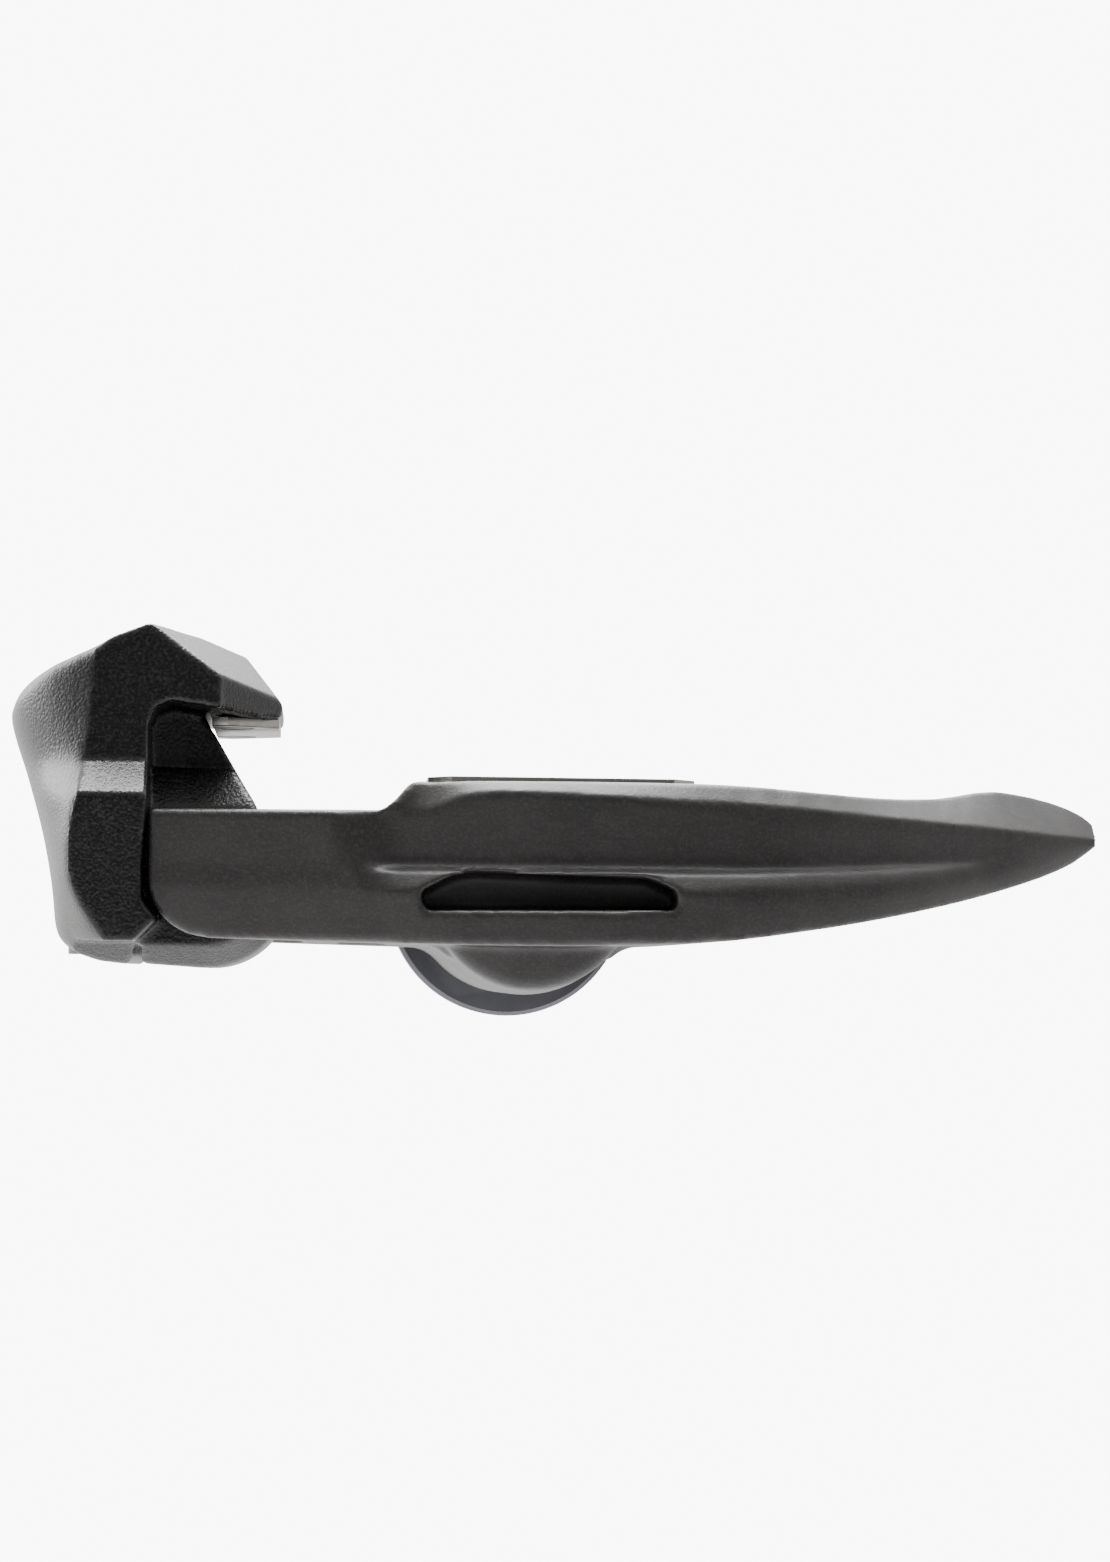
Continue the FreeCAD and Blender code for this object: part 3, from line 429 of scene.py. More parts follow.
# -------------------- mesh tools
def put(name: str, mesh: Mesh) -> Object:
    """Links a mesh to the scene as a new object at the origin and returns it."""
    piece = bpy.data.objects.new(name, mesh)
    bpy.context.scene.collection.objects.link(piece)
    return piece


def apply_modifiers(piece: Object) -> None:
    """Bakes an object's modifiers into its mesh."""
    graph = bpy.context.evaluated_depsgraph_get()
    graph.update()
    mesh = bpy.data.meshes.new_from_object(piece.evaluated_get(graph))
    piece.modifiers.clear()
    piece.data = mesh


def cad_copy(node: str, name: str) -> Object:
    """Closed copy of a CAD node's mesh, its loose triangles merged."""
    mesh = frame["nodes"][node].data.copy()
    mesh.materials.clear()
    work = bmesh.new()
    work.from_mesh(mesh)
    bmesh.ops.remove_doubles(work, verts=work.verts, dist=MERGE_DISTANCE)
    work.to_mesh(mesh)
    work.free()
    for attribute in ("custom_normal", "sharp_face"):
        found = mesh.attributes.get(attribute)
        if found:
            mesh.attributes.remove(found)
    return put(name, mesh)


def mark_edges(mesh: Mesh, low: float, high: float) -> None:
    """Stores how sharply the surface bends outwards at each vertex, as the attribute "edge".

    Args:
        mesh: the finished mesh.
        low: bend, in radians per millimetre, that counts as flat.
        high: bend that counts as a full edge.
    """
    count = len(mesh.vertices)
    place = np.empty(count * 3, np.float32)
    normal = np.empty(count * 3, np.float32)
    mesh.vertices.foreach_get("co", place)
    mesh.vertices.foreach_get("normal", normal)
    place, normal = place.reshape(-1, 3), normal.reshape(-1, 3)
    ends = np.empty(len(mesh.edges) * 2, np.int32)
    mesh.edges.foreach_get("vertices", ends)
    first, second = ends.reshape(-1, 2).T
    step = place[second] - place[first]
    length = np.maximum(np.linalg.norm(step, axis=1), SHORTEST_EDGE)
    bend = np.einsum("ij,ij->i", step, normal[second] - normal[first]) / length ** 2 * MM
    total, weight = np.zeros(count), np.zeros(count)
    for index in (first, second):
        np.add.at(total, index, bend)
        np.add.at(weight, index, 1.0)
    mean = total / np.maximum(weight, 1.0)
    edge = np.clip((mean - low) / (high - low), 0.0, 1.0)
    attribute = mesh.attributes.new("edge", "FLOAT", "POINT")
    attribute.data.foreach_set("value", edge.astype(np.float32))


def smooth_shade(mesh: Mesh, angle: float | None = None) -> None:
    """Shades a mesh smooth, keeping edges sharper than an angle in degrees, if one is given."""
    mesh.polygons.foreach_set("use_smooth", [True] * len(mesh.polygons))
    if angle is not None:
        mesh.set_sharp_from_angle(angle=math.radians(angle))
    mesh.update()


def mesh_of(work: BMesh, name: str) -> Mesh:
    """Turns a working mesh into a new mesh and frees it."""
    mesh = bpy.data.meshes.new(name)
    work.to_mesh(mesh)
    work.free()
    return mesh


def lathe(name: str, profile: Sequence[tuple[float, float]], sides: int) -> Object:
    """Turns a profile about the Y axis.

    Args:
        name: the new object's name.
        profile: (radius, y) in millimetres; it starts and ends on the axis, at radius 0.
        sides: faces round the axis.

    Returns:
        The new closed object, its faces pointing outwards.
    """
    work = bmesh.new()
    rings = []
    for radius, along in profile:
        count = sides if radius > 0 else 1
        turn = [2 * math.pi * k / sides for k in range(count)]
        rings.append([work.verts.new((radius * MM * math.cos(t), along * MM, radius * MM * math.sin(t)))
                      for t in turn])
    bridge_rings(work, rings, sides)
    bmesh.ops.recalc_face_normals(work, faces=work.faces)
    mesh = mesh_of(work, name)
    smooth_shade(mesh, CREASE_ANGLE)
    return put(name, mesh)


def bridge_rings(work: BMesh, rings: Sequence[Sequence[BMVert]], sides: int) -> None:
    """Joins each ring of vertices to the next with faces; a ring of one vertex is a pole."""
    for low, high in zip(rings, rings[1:]):
        for k in range(sides):
            n = (k + 1) % sides
            corners = (low[k % len(low)], low[n % len(low)], high[n % len(high)], high[k % len(high)])
            work.faces.new(list(dict.fromkeys(corners)))


def rounded(piece: Object, width: float) -> Object:
    """Rounds the sharp edges of a closed piece.

    Args:
        piece: a closed mesh.
        width: radius of the rounding in millimetres.

    Returns:
        The same piece, with the rounding in its mesh.
    """
    flat_angle, edge_angle = math.radians(0.6), math.radians(30.0)
    work = bmesh.new()
    work.from_mesh(piece.data)
    bmesh.ops.dissolve_limit(work, angle_limit=flat_angle, verts=work.verts, edges=work.edges)
    work.to_mesh(piece.data)
    work.free()
    bevel = piece.modifiers.new("Rounding", "BEVEL")
    bevel.width = width * MM
    bevel.segments = BEVEL_SEGMENTS
    bevel.limit_method = "ANGLE"
    bevel.angle_limit = edge_angle
    apply_modifiers(piece)
    smooth_shade(piece.data, CREASE_ANGLE)
    return piece


def relax(piece: Object, passes: int, group: str = "") -> None:
    """Relaxes a piece's mesh, or only one vertex group of it, by its share in the group."""
    modifier = piece.modifiers.new("Relax", "SMOOTH")
    modifier.factor = RELAX_FACTOR
    modifier.iterations = passes
    modifier.vertex_group = group
    apply_modifiers(piece)


def sweep_smooth(piece: Object, weigh: Callable[[Vector, Vector], float], passes: int) -> None:
    """Relaxes only the broad curved faces of a piece, so that they flow without flats.

    Args:
        piece: the piece, on a fine even grid.
        weigh: gives a vertex's share from its place and its normal, 0 to 1.
        passes: how often those faces are relaxed.
    """
    group = piece.vertex_groups.new(name="Broad faces")
    for vertex in piece.data.vertices:
        share = weigh(vertex.co, vertex.normal)
        if share > 0.0:
            group.add([vertex.index], share, "REPLACE")
    relax(piece, passes, group.name)
    piece.vertex_groups.clear()


def moulded(piece: Object, grid: float, passes: int, sweeps: int,
            weigh: Callable[[Vector, Vector], float]) -> Object:
    """Gives a crisp CAD shape the soft edges of a moulding: a fine even grid, relaxed.

    Args:
        piece: a closed mesh.
        grid: size of the grid in millimetres, which is also the smallest edge radius.
        passes: how often the grid is relaxed.
        sweeps: how often the broad curved faces are relaxed as well.
        weigh: share of a vertex in that, from its place and its normal.

    Returns:
        The same piece with its new mesh.
    """
    remesh = piece.modifiers.new("Grid", "REMESH")
    remesh.mode = "VOXEL"
    remesh.voxel_size = grid * MM
    relax(piece, passes)
    sweep_smooth(piece, weigh, sweeps)
    triangles = sum(len(polygon.vertices) - 2 for polygon in piece.data.polygons)
    if triangles > MOST_TRIANGLES:
        thin = piece.modifiers.new("Thin", "DECIMATE")
        thin.ratio = MOST_TRIANGLES / triangles
        apply_modifiers(piece)
    smooth_shade(piece.data)
    return piece


def clamp(value: float) -> float:
    """Keeps a share between 0 and 1."""
    return max(0.0, min(1.0, value))


# -------------------- repeats
@dataclass(frozen=True)
class Tree:
    """A Geometry Nodes tree, with the identifier of each of its inputs."""

    nodes: NodeTree
    sockets: dict[str, str]

    def run(self, piece: Object, values: dict[str, Any]) -> None:
        """Runs the tree on a piece, which then holds the plain resulting mesh.

        Args:
            piece: the object whose mesh is copied or swept.
            values: input name to value.
        """
        modifier = piece.modifiers.new("Repeat", "NODES")
        modifier.node_group = self.nodes
        for name, value in values.items():
            modifier[self.sockets[name]] = value
        apply_modifiers(piece)


class Repeats:
    """Geometry Nodes trees for what repeats round an axis, on points or along a helix."""

    def __init__(self) -> None:
        """Builds each tree once."""
        self.ring = self._ring()
        self.helix = self._helix()
        self.grid = self._grid()
        self.wire = self._wire()

    @staticmethod
    def _start(name: str, *sizes: Socket) -> tuple[Graph, NodeOutputs, Node]:
        """Starts a tree that takes a piece's geometry, its sizes and a material."""
        return node_group(name, "GeometryNodeTree",
                          [Socket("Geometry", GEOMETRY), *sizes, Socket("Material", MATERIAL)],
                          [Socket("Geometry", GEOMETRY)])

    @staticmethod
    def _finish(graph: Graph, given: NodeOutputs, out: Node, result: Node) -> Tree:
        """Ends a tree with Realize Instances and Set Material and returns it."""
        real = graph.add("GeometryNodeRealizeInstances", {"Geometry": result.outputs[0]})
        dressed = graph.add("GeometryNodeSetMaterial",
                            {"Geometry": real.outputs[0], "Material": given["Material"]})
        graph.link(dressed.outputs[0], out, 0)
        return Tree(graph.tree, {item.name: item.identifier for item in graph.tree.interface.items_tree
                                 if item.in_out == "INPUT"})

    @staticmethod
    def _copies(graph: Graph, given: NodeOutputs, points: Node, spin: Node) -> Node:
        """Adds a copy of the piece on every point, turned by an angle about each axis."""
        return graph.add("GeometryNodeInstanceOnPoints", {
            "Points": points.outputs[0], "Instance": given["Geometry"], "Rotation": spin.outputs[0]})

    @staticmethod
    def _swept(graph: Graph, path: Node, sides: Any, radius: Any) -> Node:
        """Adds a closed bar along a path, with a section of some sides and a radius."""
        section = graph.add("GeometryNodeCurvePrimitiveCircle", {"Resolution": sides, "Radius": radius})
        return graph.add("GeometryNodeCurveToMesh", {
            "Curve": path.outputs[0], "Profile Curve": section.outputs[0], "Fill Caps": True})

    @classmethod
    def _ring(cls) -> Tree:
        """Copies of the piece round the spindle axis, each turned with its place."""
        graph, given, out = cls._start("Ring of copies", Socket("Count", INTEGER, 12),
                                       Socket("Radius", FLOAT, 0.005), Socket("Along", FLOAT, 0.0))
        line = graph.add("GeometryNodeMeshLine", {"Count": given["Count"], "Offset": (0.0, 0.0, 0.0)})
        index = graph.add("GeometryNodeInputIndex").outputs[0]
        step = graph.math("DIVIDE", 2 * math.pi, given["Count"])
        turn = graph.math("MULTIPLY", index, step)
        across = graph.math("MULTIPLY", graph.math("COSINE", turn), given["Radius"])
        up = graph.math("MULTIPLY", graph.math("SINE", turn), given["Radius"])
        place = graph.add("ShaderNodeCombineXYZ", {0: across, 1: given["Along"], 2: up})
        points = graph.add("GeometryNodeSetPosition",
                           {"Geometry": line.outputs[0], "Position": place.outputs[0]})
        spin = graph.add("ShaderNodeCombineXYZ", {1: graph.math("MULTIPLY", turn, -1.0)})
        return cls._finish(graph, given, out, cls._copies(graph, given, points, spin))

    @classmethod
    def _grid(cls) -> Tree:
        """Copies of the piece on a rectangle of places, each turned by up to a sixth of a turn."""
        graph, given, out = cls._start(
            "Rectangle of copies", Socket("Columns", INTEGER, 2), Socket("Rows", INTEGER, 2),
            Socket("Length", FLOAT, 0.01), Socket("Width", FLOAT, 0.01), Socket("Centre", VECTOR),
            Socket("Seed", INTEGER, 7))
        grid = graph.add("GeometryNodeMeshGrid", {
            "Size X": given["Length"], "Size Y": given["Width"],
            "Vertices X": given["Columns"], "Vertices Y": given["Rows"]})
        points = graph.add("GeometryNodeSetPosition",
                           {"Geometry": grid.outputs[0], "Offset": given["Centre"]})
        turn = graph.add("FunctionNodeRandomValue", {"Seed": given["Seed"]}, data_type="FLOAT")
        turn.inputs[3].default_value = math.pi / 3
        spin = graph.add("ShaderNodeCombineXYZ", {2: turn.outputs[1]})
        return cls._finish(graph, given, out, cls._copies(graph, given, points, spin))

    @classmethod
    def _helix(cls) -> Tree:
        """A screw thread: a square ridge standing on its corner, swept along a helix about Y."""
        graph, given, out = cls._start(
            "Thread ridge", Socket("Turns", FLOAT, 8.0), Socket("Radius", FLOAT, 0.006),
            Socket("Length", FLOAT, 0.01), Socket("Ridge", FLOAT, 0.0005), Socket("Start", VECTOR))
        spiral = graph.add("GeometryNodeCurveSpiral", {
            "Resolution": 72, "Rotations": given["Turns"], "Start Radius": given["Radius"],
            "End Radius": given["Radius"], "Height": given["Length"]})
        upright = graph.add("GeometryNodeSetCurveNormal", {"Curve": spiral.outputs[0]})
        upright.mode = "Z_UP"
        ridge = cls._swept(graph, upright, 4, given["Ridge"])
        moved = graph.add("GeometryNodeTransform", {
            "Geometry": ridge.outputs[0], "Translation": given["Start"],
            "Rotation": (-math.pi / 2, 0.0, 0.0)})
        return cls._finish(graph, given, out, moved)

    @classmethod
    def _wire(cls) -> Tree:
        """Round wire along the piece's own edges."""
        graph, given, out = cls._start("Wire on a path", Socket("Radius", FLOAT, 0.0009),
                                       Socket("Sides", INTEGER, 14))
        path = graph.add("GeometryNodeMeshToCurve", {"Mesh": given["Geometry"]})
        return cls._finish(graph, given, out, cls._swept(graph, path, given["Sides"], given["Radius"]))


# -------------------- workshop
class Workshop:
    """Shared finishes and trees, and the last steps of every piece."""

    def __init__(self) -> None:
        """Builds the finishes."""
        self.effects = Effects()
        self.repeats = Repeats()
        self.finishes = {surface: surface.value.build(self.effects) for surface in Surface}

    def dress(self, piece: Object, surface: Surface) -> None:
        """Gives a piece one finish."""
        piece.data.materials.clear()
        piece.data.materials.append(self.finishes[surface])

    def keep(self, piece: Object, surface: Surface, body: str,
             replaces: Iterable[str] = ()) -> None:
        """Finishes a piece and fixes it to its body.

        Args:
            piece: the piece, its mesh final.
            surface: its finish.
            body: the body that it moves with.
            replaces: CAD nodes that it stands for.
        """
        self.dress(piece, surface)
        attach(piece, body)
        if replaces:
            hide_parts(*replaces)
        LOG.info("%s: %d faces on %s", piece.name, len(piece.data.polygons), body)

    def metalwork(self, node: str, name: str, surface: Surface, edge: float,
                  keen: float) -> None:
        """Makes a bevelled copy of a CAD node and keeps it on the node's own body.

        Args:
            node: the CAD node.
            name: the new piece's name.
            surface: its finish.
            edge: radius of its rounded edges in millimetres.
            keen: bend, in radians per millimetre, that counts as a rubbed edge.
        """
        piece = rounded(cad_copy(node, name), edge)
        mark_edges(piece.data, low=1.0, high=keen)
        self.keep(piece, surface, frame["nodes"][node]["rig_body"], [node])


def screw(name: str, profile: Sequence[tuple[float, float]], across: float, depth: float) -> Object:
    """Screw standing on Z: a turned shank and head, with a hexagon socket in its top.

    Args:
        name: the new object's name.
        profile: (radius, height) in millimetres, from the tip on the axis to the head's rim.
        across: socket width across flats.
        depth: socket depth.

    Returns:
        The new object.
    """
    work = bmesh.new()
    steps, sector = 48, math.pi / 3

    def ring(radius: float, height: float, flats: bool = False) -> list[BMVert]:
        """Ring of vertices, round or six-sided."""
        made = []
        for turn in (2 * math.pi * k / steps for k in range(steps if radius > 0 else 1)):
            reach = radius / math.cos(turn % sector - sector / 2) if flats else radius
            made.append(work.verts.new((reach * MM * math.cos(turn), reach * MM * math.sin(turn),
                                        height * MM)))
        return made

    rings = [ring(radius, height) for radius, height in profile]
    top = profile[-1][1]
    rings += [ring(across / 2, top, True), ring(across / 2, top - depth, True)]
    bridge_rings(work, rings, steps)
    work.faces.new(rings[-1])
    bmesh.ops.recalc_face_normals(work, faces=work.faces)
    mesh = mesh_of(work, name)
    smooth_shade(mesh, SOCKET_CREASE_ANGLE)
    return put(name, mesh)


# -------------------- sub-assemblies
@dataclass
class PedalBody:
    """The one-piece moulded body, its wear plate and the plate's four screws."""

    grid: float = 0.34
    passes: int = 5
    sweeps: int = 50
    nose_start: float = 15.0
    nose_blend: float = 4.0
    steep: float = 0.5
    steep_gain: float = 5.0
    plate_edge: float = 0.12
    head_radius: float = 2.35
    head_height: float = 0.72
    head_bevel: float = 0.06
    rim: float = 0.14
    neck: float = 0.75
    shank_radius: float = 1.2
    shank_length: float = 2.5
    socket_width: float = 1.8
    socket_depth: float = 1.3
    sunk: float = 0.03

    def side_share(self, place: Vector, normal: Vector) -> float:
        """Weighs the sides of the nose, ahead of the slots: 0 on flat faces, 1 on steep ones."""
        ahead = (place.x / MM - self.nose_start) / self.nose_blend
        return clamp((self.steep - abs(normal.z)) * self.steep_gain) * clamp(ahead)

    def build(self, shop: Workshop) -> None:
        """Builds the body, the plate and its screws."""
        body = moulded(cad_copy("pedal_body", "moulded_body"), self.grid, self.passes, self.sweeps,
                       self.side_share)
        mark_edges(body.data, low=0.25, high=1.1)
        shop.keep(body, Surface.BODY, "body_group", ["pedal_body"])
        shop.metalwork("wear_plate", "sheet_wear_plate", Surface.PLATE,
                       self.plate_edge, keen=6.0)
        self.build_screws(shop)

    def build_screws(self, shop: Workshop) -> None:
        """Builds the plate's countersunk screws, one near each corner of their box."""
        low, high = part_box("plate_screws")
        top = self.head_height
        profile = [(0, -self.shank_length), (self.shank_radius, -self.shank_length),
                   (self.shank_radius, 0.0), (self.head_radius - self.neck, 0.0),
                   (self.head_radius - self.head_bevel, top - self.head_bevel),
                   (self.head_radius - self.rim, top)]
        one = screw("plate_screw_set", profile, self.socket_width, self.socket_depth)
        middle = (low + high) / 2
        values = {"Columns": 2, "Rows": 2, "Length": high.x - low.x - 2 * self.head_radius * MM,
                  "Width": high.y - low.y - 2 * self.head_radius * MM,
                  "Centre": (middle.x, middle.y, high.z - (top + self.sunk) * MM), "Seed": 7,
                  "Material": shop.finishes[Surface.SCREW]}
        shop.repeats.grid.run(one, values)
        shop.keep(one, Surface.SCREW, "body_group", ["plate_screws"])


@dataclass
class RearClaw:
    """The sprung claw with its lip insert, cover and tension bolt."""

    grid: float = 0.3
    passes: int = 4
    sweeps: int = 60
    back_line: float = -36.5
    back_blend: float = 1.5
    backward: float = 0.3
    backward_gain: float = 4.0

    def back_share(self, place: Vector, normal: Vector) -> float:
        """Weighs the bowed back of the claw: 1 where a face behind the line looks backwards."""
        behind = (self.back_line - place.x / MM) / self.back_blend
        return clamp((-normal.x - self.backward) * self.backward_gain) * clamp(behind)

    def build(self, shop: Workshop) -> None:
        """Builds the claw's pieces."""
        claw = moulded(cad_copy("rear_claw", "moulded_claw"), self.grid, self.passes, self.sweeps,
                       self.back_share)
        mark_edges(claw.data, low=0.3, high=1.3)
        shop.keep(claw, Surface.CLAW, "claw_group", ["rear_claw"])
        shop.metalwork("lip_insert", "hardened_lip_insert", Surface.PLATE,
                       edge=0.15, keen=6.0)
        shop.metalwork("spring_cover", "curved_spring_cover", Surface.COVER,
                       edge=0.2, keen=5.0)
        for node, name in (("insert_screws", "lip_insert_screws"), ("tension_bolt", "socket_tension_bolt"),
                           ("tension_plate", "steel_tension_plate")):
            shop.metalwork(node, name, Surface.SCREW, edge=0.08, keen=8.0)


@dataclass
class ClawHinge:
    """Hinge pin, its plug and the two torsion springs."""

    wire: float = 0.88
    wire_sides: int = 16
    coils: int = 4
    steps: int = 40
    gap: float = 0.02
    rear_leg: float = 0.3
    front_leg: float = 0.7
    bend_start: float = 2.0

    def build(self, shop: Workshop) -> None:
        """Builds the hinge's pieces."""
        for node, name, surface, slot in (
                ("hinge_pin", "ground_hinge_pin", Surface.SPINDLE, "pin_steel"),
                ("hinge_plug", "socket_hinge_plug", Surface.SCREW, "screw_steel")):
            shop.metalwork(node, name, surface, edge=0.12, keen=6.0)
        for node, side in (("outer_spring", -1), ("inner_spring", 1)):
            self.build_spring(shop, node, side)

    def spring_path(self, node: str, side: int) -> list[Vector]:
        """Line of a spring's wire: rear leg, coils round the hinge pin, front leg.

        Args:
            node: the CAD node of the spring.
            side: -1 for the spring whose rear leg is at its crank end, 1 for the other.

        Returns:
            The points, in metres.
        """
        pin_low, pin_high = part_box("hinge_pin")
        low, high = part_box(node)
        wire = self.wire * MM
        axis_x, axis_z = (pin_low.x + pin_high.x) / 2, (pin_low.z + pin_high.z) / 2
        reach = high.z - axis_z - (1 + self.gap) * wire
        near, far = (high.y - wire, low.y + wire) if side < 0 else (low.y + wire, high.y - wire)
        points = [Vector((low.x + wire, near, axis_z + self.rear_leg * reach))]
        for k in range(self.coils * self.steps + 1):
            share = k / (self.coils * self.steps)
            turn = math.pi / 2 - 2 * math.pi * self.coils * share
            points.append(Vector((axis_x + reach * math.cos(turn), near + (far - near) * share,
                                  axis_z + reach * math.sin(turn))))
        points.append(Vector((high.x - wire, far, axis_z + self.front_leg * reach)))
        return points

    def build_spring(self, shop: Workshop, node: str, side: int) -> None:
        """Builds one torsion spring, which is fixed to no body.

        Args:
            shop: the workshop.
            node: the CAD node that it replaces.
            side: -1 for the outer spring, 1 for the one next to the crank.
        """
        points = self.spring_path(node, side)
        mesh = bpy.data.meshes.new("wound_" + node)
        mesh.from_pydata(points, [(k, k + 1) for k in range(len(points) - 1)], [])
        piece = put("wound_" + node, mesh)
        values = {"Radius": self.wire * MM, "Sides": self.wire_sides,
                  "Material": shop.finishes[Surface.SPRING]}
        shop.repeats.wire.run(piece, values)
        smooth_shade(piece.data, WIRE_CREASE_ANGLE)
        shop.dress(piece, Surface.SPRING)
        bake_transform(piece)
        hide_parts(node)
        LOG.info("%s: %d faces, its rear leg follows the claw", piece.name, len(piece.data.polygons))


@dataclass
class SpindleGroup:
    """Spindle with its thread and socket, and the bearing parts on it."""

    pitch: float = 1.27
    root: float = 6.5
    crest: float = 7.12
    thread_start: float = 0.9
    thread_end: float = 1.1
    shaft_edge: float = 0.15
    shoulder: float = 0.2
    needle: float = 0.75
    needle_chamfer: float = 0.15
    needle_count: int = 16
    ball: float = 1.18
    ball_count: int = 12
    ball_arc: int = 12
    sides: int = 20

    def build(self, shop: Workshop) -> None:
        """Builds the spindle, its thread and the bearing parts."""
        self.build_shaft(shop)
        self.build_thread(shop)
        self.build_rollers(shop)
        for node in ("inner_cone", "outer_cone", "key_washer", "lock_nut"):
            shop.metalwork(node, "ground_" + node, Surface.BEARING, edge=0.08, keen=8.0)
        shop.metalwork("bearing_sleeve", "machined_bearing_sleeve", Surface.ALLOY,
                       edge=0.08, keen=8.0)
        shop.metalwork("dust_seal", "rubber_dust_seal", Surface.SEAL, edge=0.15, keen=8.0)

    def build_shaft(self, shop: Workshop) -> None:
        """Builds the turned spindle; its thread section is turned down to the thread's root."""
        spindle = cad_copy("spindle", "turned_spindle")
        start, outer = self.shoulder * MM, 0.5 * (self.root + self.crest) * MM
        for vertex in spindle.data.vertices:
            reach = math.hypot(vertex.co.x, vertex.co.z)
            if vertex.co.y > start and reach > outer:
                scale = self.root * MM / reach
                vertex.co.x *= scale
                vertex.co.z *= scale
        rounded(spindle, self.shaft_edge)
        mark_edges(spindle.data, low=1.0, high=5.0)
        shop.keep(spindle, Surface.SPINDLE, "spindle_group", ["spindle"])

    def build_thread(self, shop: Workshop) -> None:
        """Builds the helical ridge that screws into the crank."""
        begin = self.thread_start * MM
        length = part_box("spindle")[1].y - self.thread_end * MM - begin
        ridge = self.crest - self.root
        values = {"Turns": length / (self.pitch * MM), "Radius": self.root * MM, "Length": length,
                  "Ridge": ridge * MM, "Start": (0.0, begin, 0.0),
                  "Material": shop.finishes[Surface.SPINDLE]}
        thread = put("crank_thread_ridge", bpy.data.meshes.new("crank_thread_ridge"))
        shop.repeats.helix.run(thread, values)
        shop.keep(thread, Surface.SPINDLE, "spindle_group")

    def build_rollers(self, shop: Workshop) -> None:
        """Builds the needle rollers and both ball rings, each as copies round the axis."""
        low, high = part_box("needle_rollers")
        end, chamfer = (high.y - low.y) / MM / 2, self.needle_chamfer
        profile = [(0, -end), (self.needle - chamfer, -end), (self.needle, chamfer - end),
                   (self.needle, end - chamfer), (self.needle - chamfer, end), (0, end)]
        one = lathe("ring_of_needles", profile, self.sides)
        self.build_ring(shop, "needle_rollers", "needle_set", one, self.needle, self.needle_count)
        half_turn = [math.pi * k / self.ball_arc for k in range(self.ball_arc + 1)]
        profile = [(round(self.ball * math.sin(t), 6), -self.ball * math.cos(t)) for t in half_turn]
        for node, body in (("inner_balls", "inner_ball_set"), ("outer_balls", "outer_ball_set")):
            one = lathe("ring_of_" + node, profile, self.sides)
            self.build_ring(shop, node, body, one, self.ball, self.ball_count)

    @staticmethod
    def build_ring(shop: Workshop, node: str, body: str, one: Object, radius: float,
                   count: int) -> None:
        """Repeats one rolling element round the axis.

        Args:
            shop: the workshop.
            node: the CAD node that the ring replaces.
            body: its body.
            one: the rolling element, centred on the origin.
            radius: its radius in millimetres.
            count: how many there are.
        """
        low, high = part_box(node)
        values = {"Count": count, "Radius": high.x - radius * MM, "Along": (low.y + high.y) / 2,
                  "Material": shop.finishes[Surface.BEARING]}
        shop.repeats.ring.run(one, values)
        mark_edges(one.data, low=3.0, high=9.0)
        shop.keep(one, Surface.BEARING, body, [node])


@dataclass
class LockCollar:
    """Polished lock collar at the mouth of the barrel."""

    edge: float = 0.25

    def build(self, shop: Workshop) -> None:
        """Builds the collar."""
        shop.metalwork("lock_collar", "splined_lock_collar", Surface.COLLAR,
                       self.edge, keen=5.0)


# -------------------- studio
@dataclass(frozen=True)
class Slope:
    """Brightness of the surround that changes as one part of a direction goes from low to high."""

    axis: str
    low: float
    high: float
    at_low: float
    at_high: float

    def add(self, graph: Graph, parts: Node) -> NodeSocket:
        """Adds the slope to a tree, fed by the separated parts of the direction."""
        return graph.ramp(parts.outputs[self.axis], self.low, self.high, self.at_low, self.at_high)


@dataclass(frozen=True)
class SoftLight:
    """A square area light; its place and width are in millimetres, its power in watts."""

    name: str
    place: Place
    width: float
    power: float

    def add(self, aim: Place) -> None:
        """Adds the light to the scene, facing a point given in millimetres."""
        data = bpy.data.lights.new(self.name, "AREA")
        data.size = self.width * MM
        data.energy = self.power
        light = bpy.data.objects.new(self.name, data)
        light.location = Vector(self.place) * MM
        direction = (Vector(aim) - Vector(self.place)).normalized()
        light.rotation_euler = direction.to_track_quat("-Z", "Y").to_euler()
        bpy.context.scene.collection.objects.link(light)


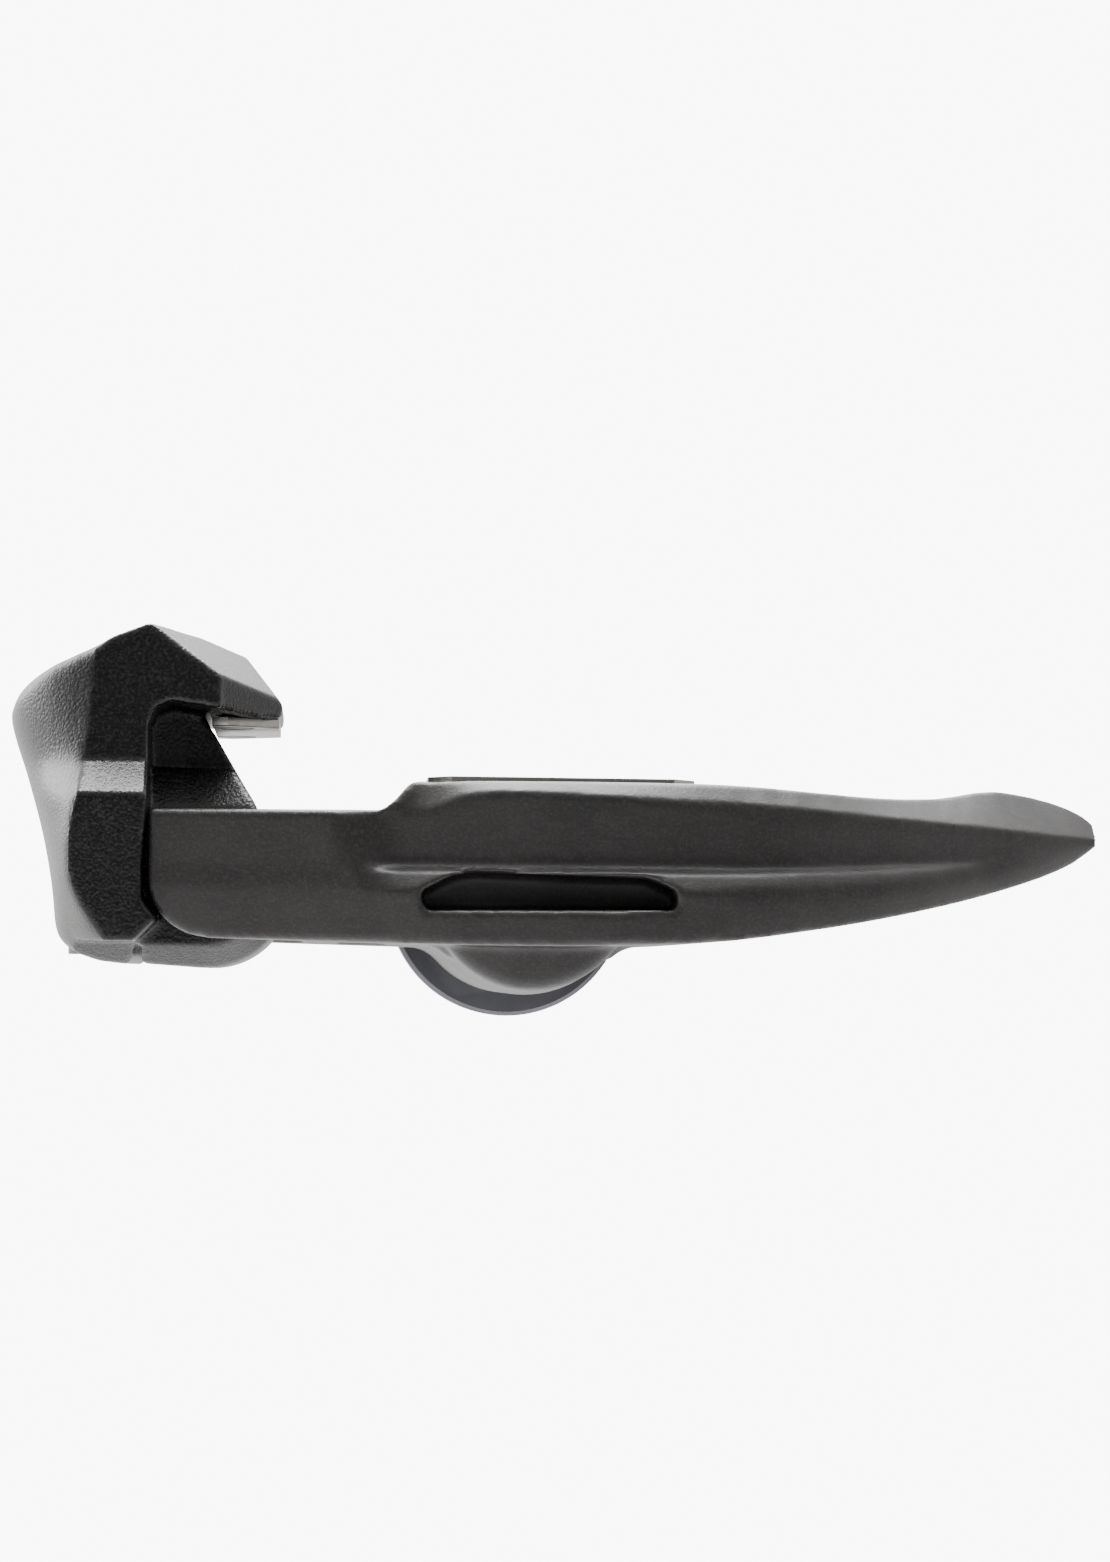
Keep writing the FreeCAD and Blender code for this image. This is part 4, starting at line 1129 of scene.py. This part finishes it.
@dataclass
class Studio:
    """Pale floor, soft lights and the camera; places in millimetres."""

    FRONT: ClassVar[Slope] = Slope("Y", -0.8, -0.1, 0.0, 0.5)
    SKY: ClassVar[Slope] = Slope("Z", 0.2, 0.5, 0.0, 0.45)
    GROUND: ClassVar[Slope] = Slope("Z", 0.03, -0.25, 0.02, 1.5)
    GROUND_LEFT: ClassVar[Slope] = Slope("X", -0.35, 0.5, 1.0, 0.6)
    BACK: ClassVar[Slope] = Slope("Y", -0.1, 0.6, 0.0, 2.8)
    BACK_HEIGHT: ClassVar[Slope] = Slope("Z", -0.1, 0.12, 0.12, 1.0)
    BACK_LEFT: ClassVar[Slope] = Slope("X", -0.1, 0.4, 1.0, 0.04)
    TOP: ClassVar[Slope] = Slope("Z", 0.5, 0.95, 0.0, 1.6)
    TOP_BACK: ClassVar[Slope] = Slope("Y", -0.15, 0.2, 0.0, 1.0)
    LIGHTS: ClassVar[tuple[SoftLight, ...]] = (
        SoftLight("overhead", (20.0, 40.0, 520.0), 300.0, 5.0),
        SoftLight("rear rim", (20.0, 330.0, 400.0), 300.0, 2.6),
        SoftLight("rear left", (-480.0, 260.0, 260.0), 380.0, 2.2))

    light_aim: Place = (0.0, -52.0, 5.0)
    camera_place: Place = (-18.2, -472.0, -7.6)
    camera_aim: Place = (3.1, -52.0, 10.3)
    camera_roll: float = 0.7
    focal: float = 104.6
    sensor: float = 36.0
    near_clip: float = 10.0
    floor_radius: float = 1200.0
    floor_drop: float = 150.0
    fade_start: float = 70.0
    fade_end: float = 240.0
    backdrop: float = 9.5

    def build(self) -> None:
        """Builds the whole studio."""
        self.build_floor()
        self.build_world()
        for light in self.LIGHTS:
            light.add(self.light_aim)
        self.build_camera()

    def build_floor(self) -> None:
        """Makes a wide pale floor that fades into the background round the pedal."""
        low, high = CAD_BOUNDS
        centre = (Vector(low) + Vector(high)) / 2
        work = bmesh.new()
        bmesh.ops.create_circle(work, cap_ends=True, segments=96, radius=self.floor_radius * MM)
        mesh = mesh_of(work, "floor")
        mesh.transform(Matrix.Translation((centre.x, centre.y, low[2] - self.floor_drop * MM)))
        floor = put("floor", mesh)
        graph, shader, place, material = Finish("Pale floor", (0.86, 0.86, 0.87)).start()
        shader.inputs["Roughness"].default_value = 0.9
        offset = graph.vector_math("SUBTRACT", place, (centre.x, centre.y, 0.0))
        flat = graph.vector_math("MULTIPLY", offset.outputs[0], (1.0, 1.0, 0.0))
        reach = graph.vector_math("LENGTH", flat.outputs[0])
        fade = graph.ramp(reach.outputs["Value"], self.fade_start * MM, self.fade_end * MM)
        clear = graph.add("ShaderNodeBsdfTransparent")
        mixed = graph.add("ShaderNodeMixShader", {0: fade, 1: shader.outputs[0], 2: clear.outputs[0]})
        graph.link(mixed.outputs[0], material.node_tree.nodes["Material Output"], "Surface")
        floor.data.materials.append(material)

    def build_world(self) -> None:
        """Makes a plain pale backdrop, and a surround of broad glows that only the pedal reflects."""
        world = bpy.data.worlds.new("Studio")
        bpy.context.scene.world = world
        world.use_nodes = True
        graph = Graph(world.node_tree)
        plain = world.node_tree.nodes["Background"]
        plain.inputs["Color"].default_value = (0.98, 0.985, 1.0, 1.0)
        plain.inputs["Strength"].default_value = self.backdrop
        place = graph.add("ShaderNodeTexCoord").outputs["Generated"]
        parts = graph.add("ShaderNodeSeparateXYZ", {0: place})
        level = graph.math("ADD", self.FRONT.add(graph, parts), self.SKY.add(graph, parts))
        for glow in ((self.GROUND, self.GROUND_LEFT), (self.BACK, self.BACK_HEIGHT, self.BACK_LEFT),
                     (self.TOP, self.TOP_BACK)):
            product = glow[0].add(graph, parts)
            for slope in glow[1:]:
                product = graph.math("MULTIPLY", product, slope.add(graph, parts))
            level = graph.math("ADD", level, product)
        lit = graph.add("ShaderNodeBackground", {"Color": (1.0, 0.995, 0.985, 1.0), "Strength": level})
        seen = graph.add("ShaderNodeLightPath").outputs["Is Camera Ray"]
        mixed = graph.add("ShaderNodeMixShader", {0: seen, 1: lit.outputs[0], 2: plain.outputs[0]})
        graph.link(mixed.outputs[0], world.node_tree.nodes["World Output"], "Surface")

    def build_camera(self) -> None:
        """Adds the camera, on the pedal's outer side."""
        data = bpy.data.cameras.new("camera")
        data.lens = self.focal
        data.sensor_width = self.sensor
        data.clip_start = self.near_clip * MM
        camera = bpy.data.objects.new("camera", data)
        place, aim = Vector(self.camera_place) * MM, Vector(self.camera_aim) * MM
        direction = (aim - place).normalized()
        turn = direction.to_track_quat("-Z", "Y")
        roll = Matrix.Rotation(math.radians(self.camera_roll), 3, "Z")
        camera.rotation_euler = (turn.to_matrix() @ roll).to_euler()
        camera.location = place
        bpy.context.scene.collection.objects.link(camera)
        bpy.context.scene.camera = camera


def main() -> None:
    """Builds the pedal and its studio, and reports each piece."""
    logging.basicConfig(level=logging.INFO, format="%(name)s %(message)s")
    shop = Workshop()
    for group in (PedalBody(), RearClaw(), ClawHinge(), SpindleGroup(), LockCollar()):
        group.build(shop)
    Studio().build()


if __name__ == "__main__":
    main()
